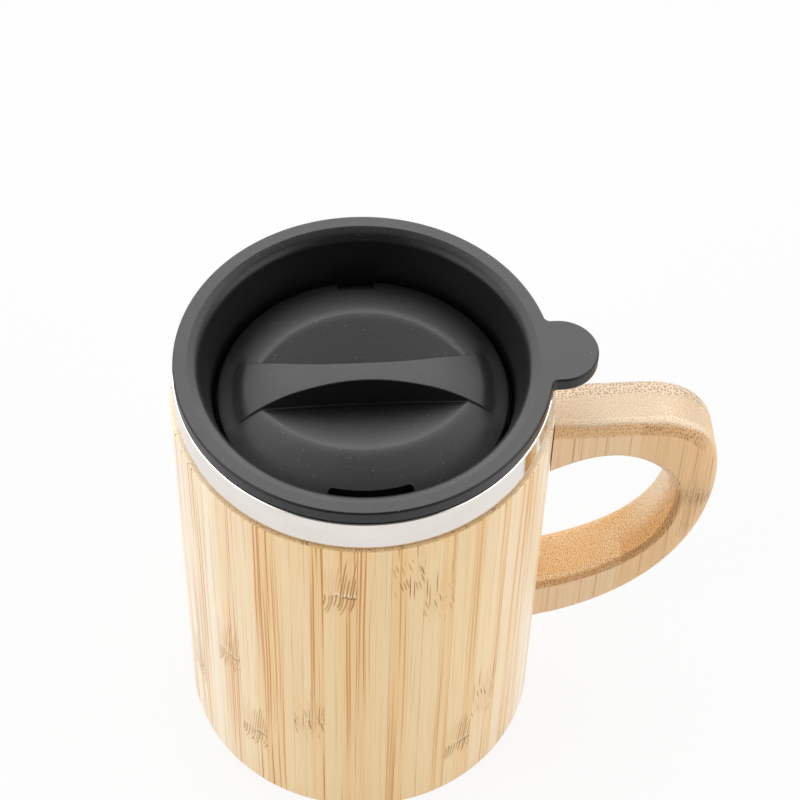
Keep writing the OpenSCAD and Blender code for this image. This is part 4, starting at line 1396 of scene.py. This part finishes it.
def board_wood(name):
    """Bamboo cut across its fibres, which run up and down: dots on top, thin lines on the sides."""
    material, graph, shader = finish(
        name, Roughness=0.5, Specular_IOR_Level=0.35, Coat_Weight=0.2, Coat_Roughness=0.35)
    _, x, y, z = graph.place()
    grip = graph.step(x, BODY_R + HANDLE_SEAM - 0.02, BODY_R + HANDLE_SEAM + 0.02)
    normal = graph.normal()
    slope = graph.math("MAXIMUM", graph.length(normal[0], normal[2]), 0.05)
    rounded = graph.step(abs(normal[1]), 0.995, 0.96)
    steep, inwards = abs(normal[2]) / slope, 0 - normal[0] / slope
    level = graph.math("MAXIMUM", graph.step(steep, 0.25, 0.75), graph.step(inwards, 0.25, 0.6) * grip)
    level = level * rounded
    sway = graph.grain(x * 0.1, y * 0.1, z * 0.02, 1.0) - 0.5
    column, row = x + sway * 1.2 + grip * 17.3, y + sway
    inner = graph.step(z, *INNER_HEIGHTS)
    # Painted highlight: the grip's inner face turns lighter towards the back, where a glancing light catches it
    glancing_highlight = graph.step(inwards, 0.66, 0.98) * grip * graph.step(row, -4.5, 3.0)
    deep = graph.step(row, 1.0, -4.5) * grip * 0.5
    far = graph.step(row + sway * 3.0, 1.0, 3.5) * (1 - inner)
    upper = graph.step(normal[2], -0.3, 0.0)
    # Painted shade: the rounded edges that face the front, on the top and in the hole, take darker colours where they
    # turn away from the light
    near_edge_shade = graph.step(sway * 0.4 - normal[1], 0.42, 0.68) * upper
    # Painted highlight: rim marks a pale band where the top and the hole's faces start to turn into the front rounded
    # edge
    rim = graph.band(sway * 0.4 - normal[1], 0.14, 0.36, 0.14) * upper
    dot = board_dots(graph, column, row, far, near_edge_shade, grip, inner) * level * (1 - glancing_highlight * 0.7)

    fibres = graph.grain(column * 5.0, row * 5.0, z * 0.08, 3.0, 0.65)
    fine = graph.grain(column * 12.0, row * 12.0, z * 0.2, 2.0, 0.6)
    broad = graph.grain(column * 0.25, row * 0.12, z * 0.01)
    # edge is the colour of the front edges' painted shade, which the fibre lines' flanks take as well
    edge = graph.mix(ARM_EDGE_SHADE, GRIP_EDGE_SHADE, grip)
    side = graph.mix(graph.mix(ARM_SIDE, GRIP_SIDE, grip), BOARD_TAN, graph.step(broad, 0.45, 0.75) * 0.5)
    # The hole's inner faces are a warmer orange than the top: the board's colour with painted bounce light, the warm
    # light thrown between the wooden faces; BOARD_DEEP makes the grip's inner face a deeper orange towards the front
    hollow = graph.mix(graph.mix(BOARD_BOUNCE_ORANGE, BOARD_DEEP, deep), BOARD_HIGHLIGHT, glancing_highlight)
    hollow = graph.mix(hollow, BOARD_HIGHLIGHT, rim * (0.4 - deep * 0.6))
    hollow = graph.mix(hollow, graph.mix(INNER_EDGE_SHADE, GRIP_INNER_EDGE_SHADE, grip), near_edge_shade)
    # The top's colour is the end grain's own, made paler as painted sheen, the washed-out look of the back light's
    # reflection
    top = graph.mix(graph.mix(BOARD_TOP_SHEEN, BOARD_HIGHLIGHT, rim * 0.5), edge, near_edge_shade)
    top = graph.mix(top, hollow, inner)
    base = graph.mix(side, top, level)
    grained = 0.28 - level * 0.12
    base = graph.scaled(base, 1 + (fibres - 0.5) * grained + (fine - 0.5) * 0.1)
    tint = graph.mix(BOARD_DOT, BOARD_DOT_WARM, graph.clamp(1 - far - grip * near_edge_shade * 0.7))
    base = graph.mix(base, tint, graph.clamp(dot))

    upright = 1 - level
    sideways = abs(normal[1]) - abs(normal[0])
    across = graph.mix_value(row, column, graph.math("GREATER_THAN", sideways, 0.0))
    bold, flank, luck = spindles(graph, across, z, *BOARD_BOLD)
    thin, _, thin_luck = spindles(graph, across, z, *BOARD_THIN)
    bare = 0.25 + graph.step(sideways, -0.3, 0.1) * 0.75
    lines = graph.clamp(bold * (0.25 + luck * 0.75) + thin * thin_luck * 0.6) * upright * bare
    base = graph.mix(base, edge, flank * upright * 0.3)
    base = graph.mix(base, BOARD_LINE, lines * 0.85)
    base = grip_smudge(graph, base, x, y, z, upright)

    # Painted shadow: a dark line on the upper arm along its seat on the sleeve, the shade inside the narrow joint
    seat_shadow = graph.step(graph.length(x, y), BODY_R + SEAT_SHADOW_W, BODY_R + SEAT_SHADOW_W * 0.8)
    seat_shadow = seat_shadow * graph.step(z, HANDLE_TOP - SEAT_SHADOW_TOP, HANDLE_TOP - SEAT_SHADOW_TOP - 0.4) * (1 - inner)
    base = graph.mix(base, WOOD_DARK, seat_shadow * 0.95)
    dark = graph.clamp(dot * 0.8 + lines * 0.3)
    feed(graph, shader, Base_Color=base, Roughness=0.45 + (fibres - 0.5) * 0.16 + dot * 0.08,
         Normal=bump(graph, fibres * 0.3 - dark * 0.8, strength=0.35, distance=0.04))
    return material


def polished_steel():
    """Steel: the collar polished to a mirror, the inside satin, both with fine lines round them."""
    material, graph, shader = finish("steel", Roughness=0.1, Metallic=1.0)
    _, x, y, z = graph.place()
    radius = graph.length(x, y)
    inside = graph.step(radius, COLLAR_R - 0.3, COLLAR_R - 0.6)
    lines = graph.grain(z * 9.0, radius * 9.0, 0.0, 3.0, 0.7)
    cloud = graph.grain(x * 0.08, y * 0.08, z * 0.2)
    base = graph.mix(paint(235, 231, 226), paint(220, 214, 207), cloud)
    feed(graph, shader, Base_Color=base,
         Roughness=0.09 + inside * 0.2 + (lines - 0.5) * 0.06,
         Normal=bump(graph, lines, strength=0.06, distance=0.01))
    return material


def black_plastic(name, roughness, sheen):
    """Black moulded plastic with a fine satin grain, a little dust and some scratches."""
    material, graph, shader = finish(name, Roughness=roughness, Specular_IOR_Level=sheen)
    spot, x, y, z = graph.place()
    grain = graph.noise(spot, 5.0, 2.0, 0.6)
    cloud = graph.noise(spot, 0.09, 3.0, 0.6)
    lying = graph.step(graph.normal()[2], 0.2, 0.9)
    near, luck = graph.cells(graph.scaled(spot, 0.95))
    dust = graph.step(near, 0.06 + luck[1] * 0.13, 0.03) * graph.step(luck[0], 0.5, 0.6) * lying
    fine_near, fine_luck = graph.cells(graph.scaled(spot, 2.3))
    specks = graph.step(fine_near, 0.2, 0.08) * graph.step(fine_luck[0], 0.66, 0.74) * lying
    round_way = graph.math("ARCTAN2", y, x) * SCRATCH_R
    scratch, _, scratch_luck = spindles(graph, graph.length(x, y), round_way, *SCRATCHES)
    specks = specks + scratch * scratch_luck * lying * 0.6
    base = graph.mix(paint(9, 9, 10), paint(14, 14, 15), cloud)
    base = graph.mix(base, paint(176, 174, 170), graph.clamp(dust * 0.34 + specks * 0.14))
    feed(graph, shader, Base_Color=base, Roughness=roughness + (grain - 0.5) * 0.1 + (cloud - 0.5) * 0.12,
         Normal=bump(graph, grain + dust * 0.8, strength=0.3, distance=0.02))
    return material


def soft_silicone():
    """Milky silicone with a dull skin."""
    material, graph, shader = finish("silicone", Roughness=0.45, Subsurface_Weight=0.15)
    spot, *_ = graph.place()
    cloud = graph.noise(spot, 0.2, 3.0)
    feed(graph, shader, Base_Color=graph.mix(paint(226, 228, 226), paint(208, 211, 210), cloud),
         Roughness=0.42 + (cloud - 0.5) * 0.2,
         Normal=bump(graph, graph.noise(spot, 4.0), strength=0.1, distance=0.02))
    return material


def dull_rubber():
    """Dark rubber with a fine leathery grain."""
    material, graph, shader = finish("pad rubber", Roughness=0.7)
    spot, *_ = graph.place()
    grain = graph.noise(spot, 3.0, 4.0, 0.7)
    feed(graph, shader, Base_Color=graph.mix(paint(58, 57, 56), paint(72, 71, 69), grain),
         Roughness=0.66 + (grain - 0.5) * 0.2, Normal=bump(graph, grain, strength=0.4, distance=0.05))
    return material


def bright_zinc():
    """Zinc-plated screw steel, a little cloudy."""
    material, graph, shader = finish("screw steel", Roughness=0.3, Metallic=1.0)
    spot, *_ = graph.place()
    cloud = graph.noise(spot, 0.8, 3.0)
    feed(graph, shader, Base_Color=graph.mix(paint(200, 200, 204), paint(178, 178, 184), cloud),
         Roughness=0.26 + cloud * 0.14,
         Normal=bump(graph, graph.noise(spot, 3.0), strength=0.1, distance=0.02))
    return material


# Studio: a white floor, a white world and four large soft lights
FLOOR_SIDE = 4000.0
FLOOR_GREY = (0.8, 0.8, 0.8, 1)
FLOOR_WHITE_SHARE = 0.86
WHITE = (1, 1, 1, 1)
WORLD_LEVEL = 0.56
WORLD_REST = 0.44
FLAG_WAY = (0.66, 0.75)
FLAG_EDGE = (0.3, 0.95)
FLAG_DARKENS = 0.85
# Each light: azimuth and elevation in degrees, distance, width and height, brightness, and sheen alone
LIGHTS = {
    "back_light": (92, 41, 1500, 3200, 2300, 2.85, True),
    "top_light": (92, 60, 1600, 1600, 1600, 1.15, False),
    "left_light": (196, 26, 1600, 1500, 1500, 1.9, False),
    "right_light": (-20, 26, 1600, 1500, 1500, 1.75, False),
}


def make_floor():
    """A white floor that keeps the cup's soft shadow."""
    side = FLOOR_SIDE
    corner_points = [(-side, -side, 0), (side, -side, 0), (side, side, 0), (-side, side, 0)]
    floor = new_object("floor", corner_points, [(0, 1, 2, 3)])
    material = bpy.data.materials.new("floor")
    graph = empty_graph(material)
    plain = graph.node("ShaderNodeBsdfDiffuse", None, {"Color": FLOOR_GREY})
    white = graph.node("ShaderNodeEmission", None, {"Color": WHITE, "Strength": 1.0})
    seen = graph.clamp(graph.ray("Camera") + graph.ray("Glossy") + graph.ray("Transmission"))
    both = graph.node("ShaderNodeMixShader", None, {0: seen * FLOOR_WHITE_SHARE, 1: plain, 2: white})
    graph.node("ShaderNodeOutputMaterial", None, {"Surface": both}, None)
    floor.data.materials.append(material)
    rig.stage(floor)


def make_world():
    """A plain white world, with a dark flag above the camera's side for what the plastic reflects."""
    world = bpy.data.worlds.new("world")
    bpy.context.scene.world = world
    graph = empty_graph(world)
    _, y, z = graph.parts(graph.node("ShaderNodeTexCoord", None, None, "Generated"))
    flag = graph.step(z * FLAG_WAY[1] - y * FLAG_WAY[0], *FLAG_EDGE)
    seen = graph.ray("Camera") * WORLD_REST + graph.ray("Transmission") * WORLD_REST
    level = WORLD_LEVEL + seen + graph.ray("Glossy") * (WORLD_REST - flag * FLAG_DARKENS)
    sky = graph.node("ShaderNodeBackground", None, {"Color": WHITE, "Strength": level})
    graph.node("ShaderNodeOutputWorld", None, {"Surface": sky}, None)


def make_light(name, azimuth, elevation, distance, wide, high, radiance, sheen_only):
    """A soft light that faces the cup's rim, its strength given as the brightness of its face."""
    data = bpy.data.lights.new(name, "AREA")
    data.shape = "RECTANGLE"
    data.size = wide * MM
    data.size_y = high * MM
    data.energy = radiance * math.pi * data.size * data.size_y
    light = add_object(name, data)
    a, e = math.radians(azimuth), math.radians(elevation)
    way = Vector((math.cos(a) * math.cos(e), math.sin(a) * math.cos(e), math.sin(e)))
    aim = Vector((0, 0, RIM_Z * MM))
    turn = way.to_track_quat("Z", "Y").to_matrix().to_4x4()
    light.matrix_world = Matrix.Translation(aim + way * distance * MM) @ turn
    light.visible_diffuse = not sheen_only


make_floor()
make_world()
for name, numbers in LIGHTS.items():
    make_light(name, *numbers)


# Pieces, each with its finish, its body and the nodes that it stands for

def dress(piece, name, material, body, slot, *nodes):
    """Names a piece, gives it its finish and ties it to the frame."""
    piece.name = name
    piece.data.name = name
    piece.data.materials.clear()
    piece.data.materials.append(material)
    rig.ride(piece, body)
    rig.replaces(piece, *nodes)
    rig.slot(piece, slot)


def paint_node(node, material):
    """A CAD node keeps its shape and gets a finish."""
    for slot in frame["nodes"][node].material_slots:
        slot.material = material


sleeve_finish = sleeve_wood()
stave_nodes = [f"stave_{number:02d}" for number in range(1, STAVES + 1)]
dress(make_sleeve(sleeve_finish), "bamboo_sleeve", sleeve_finish, "cup", "bamboo", *stave_nodes)
handle_finish = board_wood("handle bamboo")
for piece, name in zip(make_handle(), ("handle_upper_arm", "handle_lower_arm", "handle_grip")):
    dress(piece, f"{name}_wood", handle_finish, "cup", "handle_bamboo", name)
dress(make_liner(), "liner_shell", polished_steel(), "cup", "steel", "steel_liner")
dress(make_seal(), "seal_ring", soft_silicone(), "seal", "silicone", "lid_seal")
lid_finish = black_plastic("lid plastic", roughness=0.36, sheen=0.34)
dress(make_lid(), "lid_shell", lid_finish, "lid", "lid_plastic", "lid_body")
disc_finish = black_plastic("disc plastic", roughness=0.48, sheen=0.38)
dress(make_closure(), "closure_shell", disc_finish, "closure", "lid_plastic", "closure_disc")
paint_node("base_disc", board_wood("base bamboo"))
paint_node("base_pad", dull_rubber())
paint_node("handle_screws", bright_zinc())

bpy.context.scene.view_settings.view_transform = "Standard"
with open("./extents.json", "w") as file:
    json.dump({"cad": [list(corner) for corner in cad_box], "visual": [list(corner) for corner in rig.bounds()]}, file)
